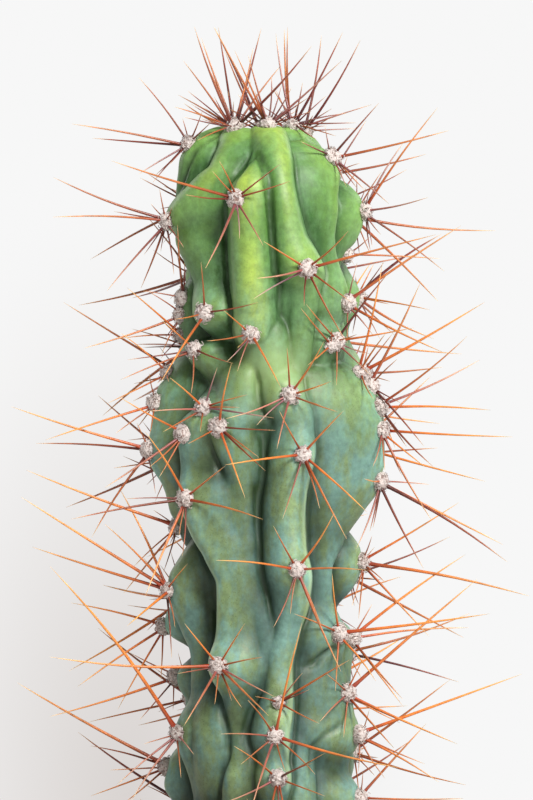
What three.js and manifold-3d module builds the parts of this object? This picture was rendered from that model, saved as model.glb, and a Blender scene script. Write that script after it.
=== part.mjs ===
// A monstrose Peruvian apple cactus in a plain clay pot. Millimetres, +Z up. The origin is the
// middle of the pot's foot, and the side that faces -Y is the front.

import * as THREE from "three";
import { mergeVertices } from "three/addons/utils/BufferGeometryUtils.js";
import Module from "manifold-3d";

const wasm = await Module();
wasm.setup();

// Driving dimensions
const POT_HEIGHT = 140;
const RIM_RADIUS = 82.5;
const RIM_BAND = 36; // height of the thicker band under the rim
const FOOT_RADIUS = 54;
const WALL = 6.5;
const FLOOR = 8;
const DRAIN_RADIUS = 7;
const CHAMFER = 1.5; // on the pot's edges
const SOIL_LEVEL = 128;
const SOIL_WAVE = 0.9; // how far the soil's surface rises and falls
const GAP = 0.3; // between neighbours that touch

const NECK_RADIUS = 23; // the round base of the stem, in the soil and just above it
const NECK_DEPTH = 45;
const RIBS_FROM = 3; // above this height over the soil the round base turns into ribs
const RIBS_FULL = 16;
const CORE_RADIUS = 17; // the stem never gets thinner than this between its ribs
const DOME_HEIGHT = 225; // over the soil: below it the ribs stand out level, above it they fan out
const DOME_RADIUS = 27.5;
const APEX_REACH = 21; // from the dome's middle straight up to the growing tip
const BLEND = 0.5; // how softly neighbouring ribs run into each other
const CREST_RUN = 7; // past its last point a rib sinks into the stem over this length
const CREST_END = 11; // down to this reach
const LEAST_ARM = 6; // the reach at which the way aside of a crest is measured, at the least
const PLUMPNESS = 0.9; // how far a flank bulges out of its straight fall, for a fall of 1
const FLANK_LENGTH = 8; // the width over which it does so

const AREOLE_RISE = 2; // the wool's height over the skin
const AREOLE_PULL = 0.8; // how much of the way a point of the skin's net moves to an areole
const SPINE_RADIUS = 0.65;
const SPINE_ROOT = 1.6; // how far under the skin a spine starts
const SPINES_EACH = 3; // on each areole: its longest ones
const SPINE_CLEAR = 1; // between a spine and the skin that it passes
const SPINE_LOW = 4; // no spine comes lower over the soil
const SPINE_TOP = 282; // nor higher
const SPINE_REACH = 80; // nor farther out from the stem's axis

const AROUND = 52; // facets round the stem
const LEVEL_STEP = 4.5; // height of its facets on the column
const DOME_ROWS = 9; // rings of facets on the dome
const LAST_TILT = 80; // degrees from the column to the last ring round the apex
const POT_FACETS = 48;

// The ribs that show from the front. Crest lists the points that a rib's ridge runs through, from
// the top down: [angle, out, up, half width of the rounded ridge]. The angle is in degrees, 0 at
// the front and growing to the right. Out is measured from the stem's axis, and up from the soil.
// Where a fifth entry follows, an areole sits on that point, and the entry lists its spines,
// longest first, each as its tip's place from the areole: [right, up, forward]. An empty list
// leaves them to a rule. Falls are how steeply the rib's left and right flank drop to the grooves.
const RIBS = [
  // Left finger, from its tip aslant to the left
  { falls: [2.2, 0.7], crest: [
    [-40, 7, 247, 5],
    [-43, 14, 251.5, 5.5, [[-12, 30, 6], [23, 24, 12], [-10, 27, -8], [14, 19, -10]]],
    [-33, 20.5, 247, 6],
    [-33, 26.5, 241, 5],
    [-44, 29.8, 234.5, 5],
    [-56, 31.3, 229, 5.5],
    [-68, 32, 223.5, 6, [[-34, 13, 6], [-34, 1, 14], [-18, -21, 4], [-8, -20, -10]]],
    [-76, 25, 218, 6]
  ] },
  // Body of the left finger, down to its free end
  { falls: [1.1, 1.1], crest: [
    [-38, 25, 236, 8],
    [-48, 29, 226, 9],
    [-57, 30, 218, 9],
    [-52, 28, 211, 8],
    [-45, 27, 206, 7],
    [-38, 30, 196, 7, [[-13, -21, 20], [-1, 15, 12], [16, 3, 12], [-9, -2, 9]]],
    [-37, 22, 189, 6]
  ] },
  // Low ridge behind it
  { falls: [1.2, 1.2], crest: [
    [-72, 21, 211, 5],
    [-74, 25.8, 200.6, 5, [[3, 22, 12], [-2, 13, -5], [5, 10, 8], [-12, 2, 3]]],
    [-76, 26.2, 195.5, 5, [[-29, -10, 10], [-6, -12, 6], [-10, 7, 3], [-5, -7, -2]]],
    [-78, 26.2, 189.5, 5, [[-16, 14, 12], [-18, -1, -4], [-6, -7, 3]]],
    [-76, 23, 184, 5]
  ] },
  // Knob under the left finger
  { falls: [1.5, 1.5], crest: [
    [-50, 28, 185, 6, [[-22, -9, 8], [-20, -3, 4], [13, -5, 12], [-1, -13, 9]]],
    [-40, 26, 178.4, 6],
    [-36, 21, 171, 5]
  ] },
  // Back of the left shoulder
  { falls: [1.4, 1.2], crest: [
    [-92, 10, 251, 5, [[6, 25, -12], [-9, 22, -10], [-15, 21, -8], [-9, 0, -5]]],
    [-80, 16.5, 251, 6],
    [-75, 24, 246.5, 6, [[-35, 6, 8], [-29, 2, -4], [-15, 20, 2], [-15, -9, 8]]],
    [-80, 27, 236, 6.5],
    [-84, 26.5, 225.5, 6.5],
    [-86, 21, 209, 6]
  ] },
  // Front finger with a free end
  { falls: [2.2, 1.8], crest: [
    [-5.5, 19, 245, 2],
    [-6.5, 26, 241.5, 3.4],
    [-8, 30, 238, 5],
    [-9.5, 32.5, 234.5, 6],
    [-10, 33.3, 230, 6.6],
    [-9.5, 32.8, 221, 6.6],
    [-9, 32.5, 205, 6.2],
    [-8.2, 32, 195, 5.8],
    [-8.5, 31.5, 189.5, 5, [[9, -16, 22], [-13, -2, 8], [-4, -11, 9], [-8, 7, 9]]],
    [-8.5, 26, 185.5, 4]
  ] },
  // Front rib right of it
  { falls: [1.3, 2.1], crest: [
    [0, 6, 247, 5],
    [2, 14, 252.2, 5.5, [[-16, 29, 6], [22, 19, 10], [-10, 22, 10], [-6, 21, -8]]],
    [6, 24, 246, 5.5],
    [8.5, 30, 234, 5],
    [13, 31.5, 220, 5.4],
    [22, 32.5, 209, 6.5, [[38, 10, 14], [-15, -3, 22], [11, -21, 12], [-13, 8, 14]]],
    [25.5, 29.5, 202, 5.5],
    [24, 28.3, 193, 4.5],
    [23, 27.5, 184, 4.5],
    [22, 25.5, 176, 4]
  ] },
  // Right shoulder
  { falls: [0.12, 1.6], crest: [
    [38, 17, 247.5, 3],
    [56, 23.5, 242.5, 3.5, [[35, 8, 2], [17, -14, 10], [14, 16, 10], [-11, 3, 12]]],
    [49, 27.5, 230, 2.5],
    [50, 26, 216.5, 2.5],
    [56, 29, 199, 3, [[34, 23, 8], [29, -15, 10], [8, -10, 6], [3, 12, 6]]],
    [56, 24, 191, 5]
  ] },
  // Behind the right shoulder
  { falls: [0.6, 1.3], crest: [
    [60, 9, 252, 5, [[15, 28, 4], [-5, 28, -6], [16, 4, -6], [13, -3, 4]]],
    [76, 14.5, 246, 5],
    [88, 20, 238, 5, [[10, 16, -5], [28, 6, -14], [8, 3, 3]]],
    [82, 29.5, 226.5, 3.5, [[22, 31, 4], [24, -18, 5], [12, 21, -8], [19, 4, 12]]],
    [86, 24, 213.5, 5, [[28, -1, -6], [11, 0, -4], [3, 8, -8]]],
    [86, 20, 206, 5],
    [82, 24, 188.6, 5],
    [80, 22, 177.5, 5]
  ] },
  // Short knob under the right shoulder
  { falls: [0.6, 1.2], crest: [
    [42, 24, 197, 6],
    [47, 28.5, 187.5, 6, [[16, 21, 10], [23, 4, 8], [-9, 11, 11], [10, -10, 8]]],
    [46, 26, 180.5, 6],
    [44, 22, 174, 6]
  ] },
  // Right wing, which winds on down to the soil
  { falls: [0.3, 1.6], crest: [
    [58, 22, 183, 3.5],
    [63, 31, 178, 3.5, [[7, 33, 8], [15, 31, 10], [8, 12, 14], [1, -11, 10]]],
    [68, 36.5, 168, 3.5, [[33, -1, 6], [26, 21, 8], [30, 14, -6], [16, -18, 10]]],
    [68, 37, 161, 4, [[39, -2, 10], [15, -27, 10], [13, -11, 8], [-5, -11, 12]]],
    [70, 37, 153, 4],
    [70, 36, 145.7, 4, [[38, -24, 8], [37, -19, -4], [13, -26, 12], [-7, -20, 9]]],
    [67, 31, 136.5, 4],
    [57, 26.5, 128, 4],
    [47, 25.5, 119, 3.5],
    [47, 25.5, 111.5, 3.5],
    [49, 28.5, 100.4, 5, [[45, 6, 10], [-2, 18, 12], [-15, 6, 12], [11, -14, 12]]],
    [53, 26.5, 92, 5],
    [59, 28, 82.4, 5, [[39, 34, -4], [33, -15, 8], [14, -16, 16], [-8, -8, 14]]],
    [62, 28.4, 76.5, 5],
    [66, 30, 70, 5, [[49, 18, -3], [24, -14, 6], [20, -9, -6], [8, -13, 3]]],
    [66, 26, 60, 5],
    [68, 30, 51, 5, [[31, 0, 5], [20, 22, -6], [12, -18, 8], [1, 8, 3]]],
    [69, 26, 38, 5],
    [68, 30, 27, 5, []],
    [66, 26, 12, 5],
    [65, 24, 0, 5]
  ] },
  // Small spur of the wing with an areole of its own
  { falls: [0.8, 1.2], crest: [
    [70, 22, 105, 4],
    [66, 28, 98.8, 4, [[34, 25, -4], [35, 3, -6], [15, -20, 6], [6, 10, -4]]],
    [68, 26.8, 91, 4],
    [70, 26, 84.5, 4],
    [72, 22, 78, 4]
  ] },
  // Right back
  { falls: [0.95, 0.9], crest: [
    [87, 22, 134, 4],
    [80, 29, 121.4, 4, [[50, -10, 6], [29, 18, 8], [20, -22, 10], [-1, -17, 3]]],
    [82, 26, 114, 4],
    [86, 20, 107, 4]
  ] },
  // Far right of the top
  { falls: [1.2, 1.4], crest: [
    [108, 7, 247, 5],
    [110, 12, 250.5, 5, []],
    [112, 19, 243, 5],
    [113, 23, 236, 5.5],
    [114, 29, 225, 5.5, []],
    [115, 25, 213, 5.5],
    [114, 30, 201, 5.5, []],
    [112, 26, 190, 5],
    [110, 30.5, 178, 5, []],
    [110, 26, 167, 5],
    [112, 30, 156, 5, []],
    [114, 24, 143, 5]
  ] },
  // Low swelling in the groove between the right wing and the far right
  { falls: [0.9, 0.9], crest: [
    [86, 20, 112, 5],
    [88, 22.5, 96, 5],
    [86, 22.5, 76, 5],
    [84, 20, 60, 5]
  ] },
  // Far right below it
  { falls: [0.7, 0.9], crest: [
    [112, 23, 134, 5],
    [112, 27, 117, 5, []],
    [112, 21, 107, 5],
    [110, 26, 94, 5, []],
    [108, 25, 80, 5],
    [106, 27, 64, 5, []],
    [104, 25, 48, 5],
    [102, 30, 33, 5, []],
    [102, 25, 12, 5],
    [102, 24, 0, 5]
  ] },
  // Far left
  { falls: [1, 0.7], crest: [
    [238, 27, 190, 5],
    [240, 30.5, 178, 5, []],
    [244, 26.5, 166, 5],
    [246, 31, 152, 5, []],
    [248, 26, 140, 5],
    [244, 22, 130, 5],
    [240, 22, 122, 5],
    [236, 30, 110, 5, []],
    [234, 26, 96, 5],
    [233, 28.5, 80, 5, []],
    [234, 27, 64, 5],
    [234, 31, 48, 5, []],
    [232, 26, 30, 5],
    [232, 30, 17, 5, []],
    [232, 25, 0, 5]
  ] },
  // Middle rib, which winds from its arched shoulder to the soil
  { falls: [1.25, 2.4], crest: [
    [13, 24, 183, 6],
    [12, 28, 178.4, 6],
    [13, 31.5, 171.5, 5.5, [[-19, -7, 10], [10, 16, 16], [-4, -16, 14], [12, 4, 14]]],
    [20, 32, 163, 5],
    [18.5, 34, 153.8, 5, [[13, -25, 14], [19, -17, 12], [-23, -3, 18], [12, 13, 14]]],
    [16, 32.8, 146, 5],
    [13.5, 32.5, 134, 5],
    [13.7, 33, 126, 5],
    [15.5, 34, 119.6, 5, [[13, -30, 14], [-24, 3, 18], [21, 0, 18], [11, 17, 14]]],
    [18, 31.5, 111, 4.5],
    [13, 29.5, 101, 4.5],
    [8, 29.5, 92, 4.5],
    [6.8, 31, 80, 4.5, [[21, 13, 12], [12, -6, 9], [7, 9, 8], [-7, 2, 8]]],
    [4.4, 32.5, 70, 4.5, [[37, -9, 14], [8, 34, 16], [-7, -21, 20], [-16, 1, 10]]],
    [5, 30.5, 63, 4.5],
    [5.8, 33, 57.5, 4.5, [[10, 5, 18], [14, 8, 14], [-3, -16, 14], [-13, 10, 12]]],
    [6, 29, 47, 4.5],
    [5, 32, 38, 5, []],
    [4, 29, 26, 5],
    [5, 31, 17, 5, []],
    [4, 27, 0, 5]
  ] },
  // Young skin under the front finger, where the groove fills out
  { falls: [0.8, 0.8], crest: [
    [2, 24, 198, 5],
    [3, 28.5, 189, 6],
    [3, 29, 182, 6],
    [4, 25, 173, 5]
  ] },
  // Bulge under the front finger, with an areole on its left edge
  { falls: [2.4, 0.7], crest: [
    [-17, 24, 180, 6],
    [-20, 28, 173, 6],
    [-27, 31.5, 162, 5, [[8, -21, 22], [4, 19, 14], [14, -13, 14], [17, -1, 10]]],
    [-23.5, 30.8, 155, 4.5],
    [-19, 29, 148, 4.5],
    [-16, 26, 140, 4],
    [-14, 22, 132, 4]
  ] },
  // Left front rib, which winds from its knobs to the soil
  { falls: [2.2, 0.48], crest: [
    [-38, 24, 174, 5],
    [-37, 31, 167.6, 5, [[22, -4, 14], [-10, 9, 14], [-17, -1, 10], [13, 4, 9]]],
    [-49, 33, 160, 4.5, [[-23, -16, 16], [-19, 11, 12], [-10, -10, 9], [-7, -13, 8]]],
    [-50, 32, 150.5, 4],
    [-45, 34, 140.6, 4.5, [[-34, -6, 14], [-12, -29, 12], [-12, 20, 14], [23, -6, 18]]],
    [-40, 33, 131, 4],
    [-32, 31.5, 123, 3.5],
    [-25, 30.5, 115, 3.5],
    [-24, 31, 101, 4],
    [-25, 34, 90.8, 4.5, [[-50, 3, 10], [15, -14, 26], [-10, -17, 22], [8, 13, 14]]],
    [-20.5, 28.5, 80, 4.5],
    [-19.5, 27.5, 70, 4.5],
    [-20, 29.5, 58, 4.5],
    [-21, 28, 46, 5],
    [-27, 31.5, 34, 5, []],
    [-25, 28, 18, 5],
    [-24, 25, 0, 5]
  ] },
  // Right edge of the left front's broad face, over the middle groove
  { falls: [0.45, 2.5], crest: [
    [-14, 24, 183, 4.2],
    [-16, 28.5, 176, 4.2],
    [-17, 29, 166, 4.2],
    [-17, 29, 156, 4.2],
    [-17, 28.6, 146, 4.2],
    [-17, 28.3, 136, 4.2],
    [-16, 28, 126, 4.2],
    [-13, 27.6, 115, 4.2],
    [-8, 27.6, 109, 4.2],
    [-2, 28.2, 102, 4.2],
    [0, 28.5, 97, 4.2],
    [-2, 28, 90, 4.2],
    [-6, 26, 83, 4.2]
  ] },
  // Left wing
  { falls: [0.9, 0.6], crest: [
    [-80, 25, 184, 3.5],
    [-80, 30, 178, 3.5, [[-18, -9, 4], [-14, 12, 8], [9, -7, 8]]],
    [-77, 34, 169, 3.5, [[-33, -11, 8], [-13, -4, 2], [-12, -9, 5], [3, -10, 8]]],
    [-77, 35, 162, 3.5],
    [-78, 36, 155, 3.5, [[-41, 13, 8], [-34, 2, -6], [-17, -26, 6], [2, -13, 5]]],
    [-80, 31, 143, 3.5],
    [-85, 27, 132, 3.5, [[-45, 17, 4], [-16, -20, -3], [-13, -12, 3], [0, -14, 5]]],
    [-84, 22, 124, 4]
  ] },
  // Left lower rib, down to the soil
  { falls: [0.9, 0.7], crest: [
    [-60, 24, 130, 4],
    [-71, 31, 113, 4.5, [[-44, 28, 5], [-41, 13, -5], [-12, -10, 30], [-19, 20, 8]]],
    [-66, 28, 102.5, 5],
    [-57, 26, 93.5, 5],
    [-56, 26, 83, 5],
    [-62, 30, 70.4, 5, [[-38, 50, 10], [-14, -20, 14], [-18, -15, 10], [7, -6, 10]]],
    [-58, 27, 59, 5],
    [-56, 25, 50, 5],
    [-60, 30, 38, 5, []],
    [-59, 26, 24, 5],
    [-62, 29, 14, 5, []],
    [-62, 25, 0, 5]
  ] },
  // Lobe of the left lower rib, which leans over the left front one
  { falls: [1.2, 2], crest: [
    [-46, 24, 86, 6],
    [-41, 28, 77, 8],
    [-39, 29.5, 68, 8],
    [-41, 28, 58, 8],
    [-45, 25, 49, 7]
  ] },
  // Rib between the left lower and the left front one, low down
  { falls: [1, 1.2], crest: [
    [-42, 24, 40, 5],
    [-42, 28, 28, 5],
    [-42, 26, 14, 5],
    [-42, 24, 0, 5]
  ] },
  // Rib between the young one and the right wing, low down
  { falls: [1, 1], crest: [
    [46, 24, 50, 5],
    [46, 28.5, 36, 5],
    [48, 26, 20, 5],
    [48, 24, 0, 5]
  ] },
  // Behind it
  { falls: [0.9, 1.2], crest: [
    [-92, 23, 114, 4],
    [-98, 31, 102, 5, [[-26, -18, 4], [-28, 7, -4], [-14, -25, -4], [-1, -16, 3]]],
    [-97, 22, 94, 4],
    [-100, 27.5, 87, 5, [[-38, -12, 4], [-11, -13, 3], [-14, 7, -4], [-1, -10, 2]]],
    [-97, 23, 77, 5],
    [-96, 24.5, 69, 5],
    [-95, 30, 60, 5, [[-45, 25, -4], [-23, 6, -6], [-23, -9, -3], [-13, -11, 5]]],
    [-95, 30.5, 54, 5],
    [-96, 26, 45, 5],
    [-95, 30, 36, 5, []],
    [-94, 25, 22, 5],
    [-93, 24, 0, 5]
  ] },
  // Young rib that starts low on the right of the middle
  { falls: [1.1, 1], crest: [
    [24, 23, 72, 3],
    [21.5, 28.5, 61, 3.5],
    [20.5, 30.5, 51, 4],
    [22, 29.5, 42, 4.5],
    [26, 31, 32, 5, []],
    [31, 28, 16, 5],
    [33, 25, 0, 5]
  ] }
];

// An areole beside its rib's crest: [angle, out, up, spines]
const SIDE_AREOLES = [
  [-16, 33.5, 230, [[-37, 11, 14], [-9, -21, 28], [13, 10, 12], [16, 5, 10]]]
];

// The ribs on the far side: [angle at the top, angle at the bottom, top, bottom], up in mm.
const BACK_RIBS = [
  [148, 140, 252, 168],
  [186, 180, 252, 200],
  [224, 232, 252, 186],
  [196, 206, 206, 112],
  [154, 146, 176, 84],
  [200, 188, 106, 0],
  [150, 144, 76, 0]
];
const BACK_STEP = 24; // from areole to areole on the far side
const BACK_CREST = 31.5;
const BACK_DIP = 26.5;
const BACK_WIDTH = 5;
const BACK_END = 21; // how far out a rib's sloping end runs to
const BACK_TAIL = 11; // and how long it is
const BACK_FALL = 0.9;
// How such a rib comes over the top: [out, up, half width], with an areole on the second point.
const FINGER_TOP = [
  [7, 247, 6],
  [14, 251, 7],
  [25, 243, 5]
];

const CLAY = new THREE.MeshStandardMaterial({ color: 0xb4694a, roughness: 0.85, metalness: 0 });
const SOIL = new THREE.MeshStandardMaterial({ color: 0x4a3a2e, roughness: 0.95, metalness: 0 });
const SKIN = new THREE.MeshStandardMaterial({ color: 0x6c9c62, roughness: 0.5, metalness: 0 });

// The pot's outside under its rim band, and its inside as [radius, height] from the floor up.
const BAND_FOOT = POT_HEIGHT - RIM_BAND;
const BAND_RADIUS = RIM_RADIUS - 5;
const WALL_TOP = RIM_RADIUS - 12.5;
const POT_INSIDE = [
  [FOOT_RADIUS - WALL - 2, FLOOR],
  [FOOT_RADIUS - WALL + 3, FLOOR + 6],
  [WALL_TOP - WALL, BAND_FOOT - 4],
  [BAND_RADIUS - WALL + 1, BAND_FOOT + 2],
  [RIM_RADIUS - WALL - CHAMFER, POT_HEIGHT - CHAMFER]
];

const radians = (degrees) => (degrees * Math.PI) / 180;
const wrapped = (degrees) => ((((degrees % 360) + 540) % 360) - 180);
const mix = (a, b, t) => a + (b - a) * t;

// A repeatable number from 0 to 1 for a whole number.
function chance(seed) {
  const value = Math.sin(seed * 127.1) * 43758.5453;
  return value - Math.floor(value);
}

// A curve through the points (xs, ys), with xs rising, that never swings past a point.
function smoothCurve(xs, ys) {
  const slopes = xs.map((x, i) => {
    if (i === 0 || i === xs.length - 1) return 0;
    const before = (ys[i] - ys[i - 1]) / (x - xs[i - 1]);
    const after = (ys[i + 1] - ys[i]) / (xs[i + 1] - x);
    return before * after > 0 ? (2 * before * after) / (before + after) : 0;
  });
  return (x) => {
    let i = 0;
    while (i < xs.length - 2 && x > xs[i + 1]) i += 1;
    const span = xs[i + 1] - xs[i];
    const t = Math.min(Math.max((x - xs[i]) / span, 0), 1);
    const back = 1 - t;
    return (
      back * back * ((1 + 2 * t) * ys[i] + t * span * slopes[i]) +
      t * t * ((1 + 2 * back) * ys[i + 1] - back * span * slopes[i + 1])
    );
  };
}

// Where a point that lies out from the axis and up from the soil is seen from the stem's core:
// its level along the stem, which goes on round the dome, and its reach from the core's line.
function fromCore(out, up) {
  if (up <= DOME_HEIGHT) return { level: up, reach: out };
  const above = up - DOME_HEIGHT;
  return { level: DOME_HEIGHT + DOME_RADIUS * Math.atan2(above, out), reach: Math.hypot(out, above) };
}

// A back rib's crest points, found by a rule: areoles on swellings, with dips between them, and
// an end that slopes into the stem.
function backRib([topAngle, bottomAngle, top, bottom], index) {
  const points = [];
  const overTop = top > DOME_HEIGHT;
  if (overTop) {
    FINGER_TOP.forEach((point, i) => points.push([topAngle, ...point, i === 1 ? [] : undefined]));
  }
  const first = overTop ? DOME_HEIGHT + 4 : top;
  const count = Math.max(1, Math.round((first - bottom) / BACK_STEP));
  if (!overTop) points.push([topAngle, BACK_END, first + BACK_TAIL, BACK_WIDTH]);
  for (let i = 0; i <= count; i += 1) {
    const seed = index * 40 + i;
    const up = mix(first, bottom, i / count);
    const angle = mix(topAngle, bottomAngle, i / count) + mix(-4, 4, chance(seed));
    const ends = i === 0 && !overTop ? 3 : 0;
    const crest = BACK_CREST - ends + mix(-1.5, 2, chance(seed + 0.3));
    const dip = BACK_DIP + mix(-1, 1, chance(seed + 0.6));
    if (up > RIBS_FULL - 4) points.push([angle, crest, up, BACK_WIDTH, []]);
    else points.push([angle, NECK_RADIUS + 1, up, BACK_WIDTH]);
    if (i < count) points.push([angle, dip, up - (first - bottom) / count / 2, BACK_WIDTH - 0.5]);
  }
  if (bottom > 0) points.push([bottomAngle, BACK_END, bottom - BACK_TAIL, BACK_WIDTH]);
  return points;
}

const allRibs = [
  ...RIBS,
  ...BACK_RIBS.map((row, index) => ({ falls: [BACK_FALL, BACK_FALL], crest: backRib(row, index) }))
];

// Each rib as curves along its level, with both ends sunk into the core.
const ribs = allRibs.map(({ falls, crest }) => {
  const seen = crest.map(([angle, out, up, width]) => ({ angle, width, ...fromCore(out, up) }));
  seen.sort((a, b) => a.level - b.level);
  const low = seen[0];
  const high = seen[seen.length - 1];
  const line = [
    { ...low, level: low.level - CREST_RUN, reach: CREST_END },
    ...seen,
    { ...high, level: high.level + CREST_RUN, reach: CREST_END }
  ];
  const levels = line.map((point) => point.level);
  return {
    falls,
    from: levels[0],
    to: levels[levels.length - 1],
    angle: smoothCurve(levels, line.map((point) => point.angle)),
    reach: smoothCurve(levels, line.map((point) => point.reach)),
    width: smoothCurve(levels, line.map((point) => point.width))
  };
});

// How steeply the surface is tilted up at a level: 0 on the column, 90 degrees at the apex.
const tiltAt = (level) => Math.max(0, (level - DOME_HEIGHT) / DOME_RADIUS);

// How far the skin lies from the core's line in one direction: the outermost of the core and the
// ribs, blended. Across a rib the skin follows its rounded ridge, then a plump, falling flank.
function reachAt(angle, level) {
  const tilt = tiltAt(level);
  const core = mix(CORE_RADIUS, APEX_REACH, Math.min(tilt / (Math.PI / 2), 1));
  let sum = Math.exp(core / BLEND);
  for (const rib of ribs) {
    if (level < rib.from || level > rib.to) continue;
    const crest = rib.reach(level);
    const width = rib.width(level);
    const arm = Math.max(crest - width, LEAST_ARM);
    const turn = radians(wrapped(angle - rib.angle(level)));
    const lean = (radians(rib.angle(level + 1) - rib.angle(level - 1)) * crest * Math.cos(tilt)) / 2;
    const aside = (Math.abs(turn) * arm * Math.cos(tilt)) / Math.hypot(1, lean);
    const fall = rib.falls[turn < 0 ? 0 : 1];
    const near = Math.min(aside, (width * fall) / Math.hypot(1, fall));
    const ridge = crest - width + Math.sqrt(width * width - near * near);
    const bulge = Math.sin(Math.PI * Math.min((aside - near) / FLANK_LENGTH, 1));
    const height = ridge - fall * (aside - near - PLUMPNESS * bulge);
    sum += Math.exp(height / BLEND);
  }
  const ribbed = Math.log(sum) * BLEND;
  return mix(NECK_RADIUS, ribbed, THREE.MathUtils.smoothstep(level, RIBS_FROM, RIBS_FULL));
}

// The point at a reach in one direction, in the part's frame.
function pointAt(angle, level, reach) {
  const tilt = tiltAt(level);
  const out = reach * Math.cos(tilt);
  return new THREE.Vector3(
    out * Math.sin(radians(angle)),
    -out * Math.cos(radians(angle)),
    SOIL_LEVEL + Math.min(level, DOME_HEIGHT) + reach * Math.sin(tilt)
  );
}

const skinAt = (angle, level) => pointAt(angle, level, reachAt(angle, level));

function skinNormal(angle, level) {
  const step = 1;
  const turn = 2;
  const along = skinAt(angle, level + step).sub(skinAt(angle, level - step));
  const across = skinAt(angle + turn, level).sub(skinAt(angle - turn, level));
  return across.cross(along).normalize();
}

// How far a point lies outside the skin, measured away from the core. Below zero it is inside.
function clearOfSkin(point) {
  const out = Math.hypot(point.x, point.y);
  const { level, reach } = fromCore(out, point.z - SOIL_LEVEL);
  const angle = (Math.atan2(point.x, -point.y) * 180) / Math.PI;
  return reach - reachAt(angle, level);
}

// A seeded areole's longest spines: two that stand out and one that lies lower. Each row gives the
// range of its angle from the normal and the range of its length.
function seededSpines(normal, seed) {
  const kinds = [
    { open: [18, 42], length: [32, 44] },
    { open: [18, 42], length: [32, 44] },
    { open: [50, 68], length: [17, 26] }
  ];
  const upright = new THREE.Vector3(0, 0, 1).addScaledVector(normal, -normal.z).normalize();
  const sideways = new THREE.Vector3().crossVectors(upright, normal);
  const start = 360 * chance(seed);
  return kinds.map((kind, i) => {
    const clock = radians(start + i * 120 + mix(-20, 20, chance(seed + i + 0.2)));
    const open = radians(mix(...kind.open, chance(seed + i + 0.4)));
    const length = mix(...kind.length, chance(seed + i + 0.7));
    return new THREE.Vector3()
      .addScaledVector(normal, Math.cos(open))
      .addScaledVector(upright, Math.sin(open) * Math.cos(clock))
      .addScaledVector(sideways, Math.sin(open) * Math.sin(clock))
      .multiplyScalar(length);
  });
}

// Lifts a spine off the skin that it would run into, and keeps it inside its reach and above soil.
function settleSpine(foot, spine, normal) {
  const length = spine.length();
  const nudge = 2.5;
  const most = 14;
  const isClear = () =>
    [0.3, 0.5, 0.75, 1].every((t) => {
      const point = foot.clone().addScaledVector(spine, t);
      return clearOfSkin(point) > SPINE_CLEAR && point.z > SOIL_LEVEL + SPINE_LOW;
    });
  for (let i = 0; i < most && !isClear(); i += 1) {
    spine.addScaledVector(normal, nudge);
    if (foot.z + spine.z < SOIL_LEVEL + SPINE_LOW + 1) spine.z += nudge;
    spine.setLength(length);
  }
  const tip = foot.clone().add(spine);
  const out = Math.hypot(tip.x, tip.y);
  if (out > SPINE_REACH) spine.multiplyScalar(1 - (out - SPINE_REACH) / Math.hypot(spine.x, spine.y));
  const over = foot.z + spine.z - SOIL_LEVEL - SPINE_TOP;
  if (over > 0) spine.multiplyScalar(1 - over / spine.z);
  return spine;
}

// A closed mesh as a solid that can be joined and cut.
function toSolid(geometry) {
  const bare = geometry.clone();
  for (const name of Object.keys(bare.attributes)) {
    if (name !== "position") bare.deleteAttribute(name);
  }
  const merged = mergeVertices(bare, 1e-4);
  return new wasm.Manifold(
    new wasm.Mesh({
      numProp: 3,
      vertProperties: new Float32Array(merged.attributes.position.array),
      triVerts: new Uint32Array(merged.index.array)
    })
  );
}

function toGeometry(solid) {
  const mesh = solid.getMesh();
  const geometry = new THREE.BufferGeometry();
  geometry.setAttribute("position", new THREE.BufferAttribute(mesh.vertProperties, 3));
  geometry.setIndex(new THREE.BufferAttribute(mesh.triVerts, 1));
  return geometry;
}

// A solid of revolution about Z from [radius, height] points, listed so that the outside lies on
// the right of the way from one point to the next.
function turned(points) {
  const profile = points.map(([radius, height]) => new THREE.Vector2(radius, height));
  return new THREE.LatheGeometry(profile, POT_FACETS).rotateX(Math.PI / 2);
}

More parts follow.
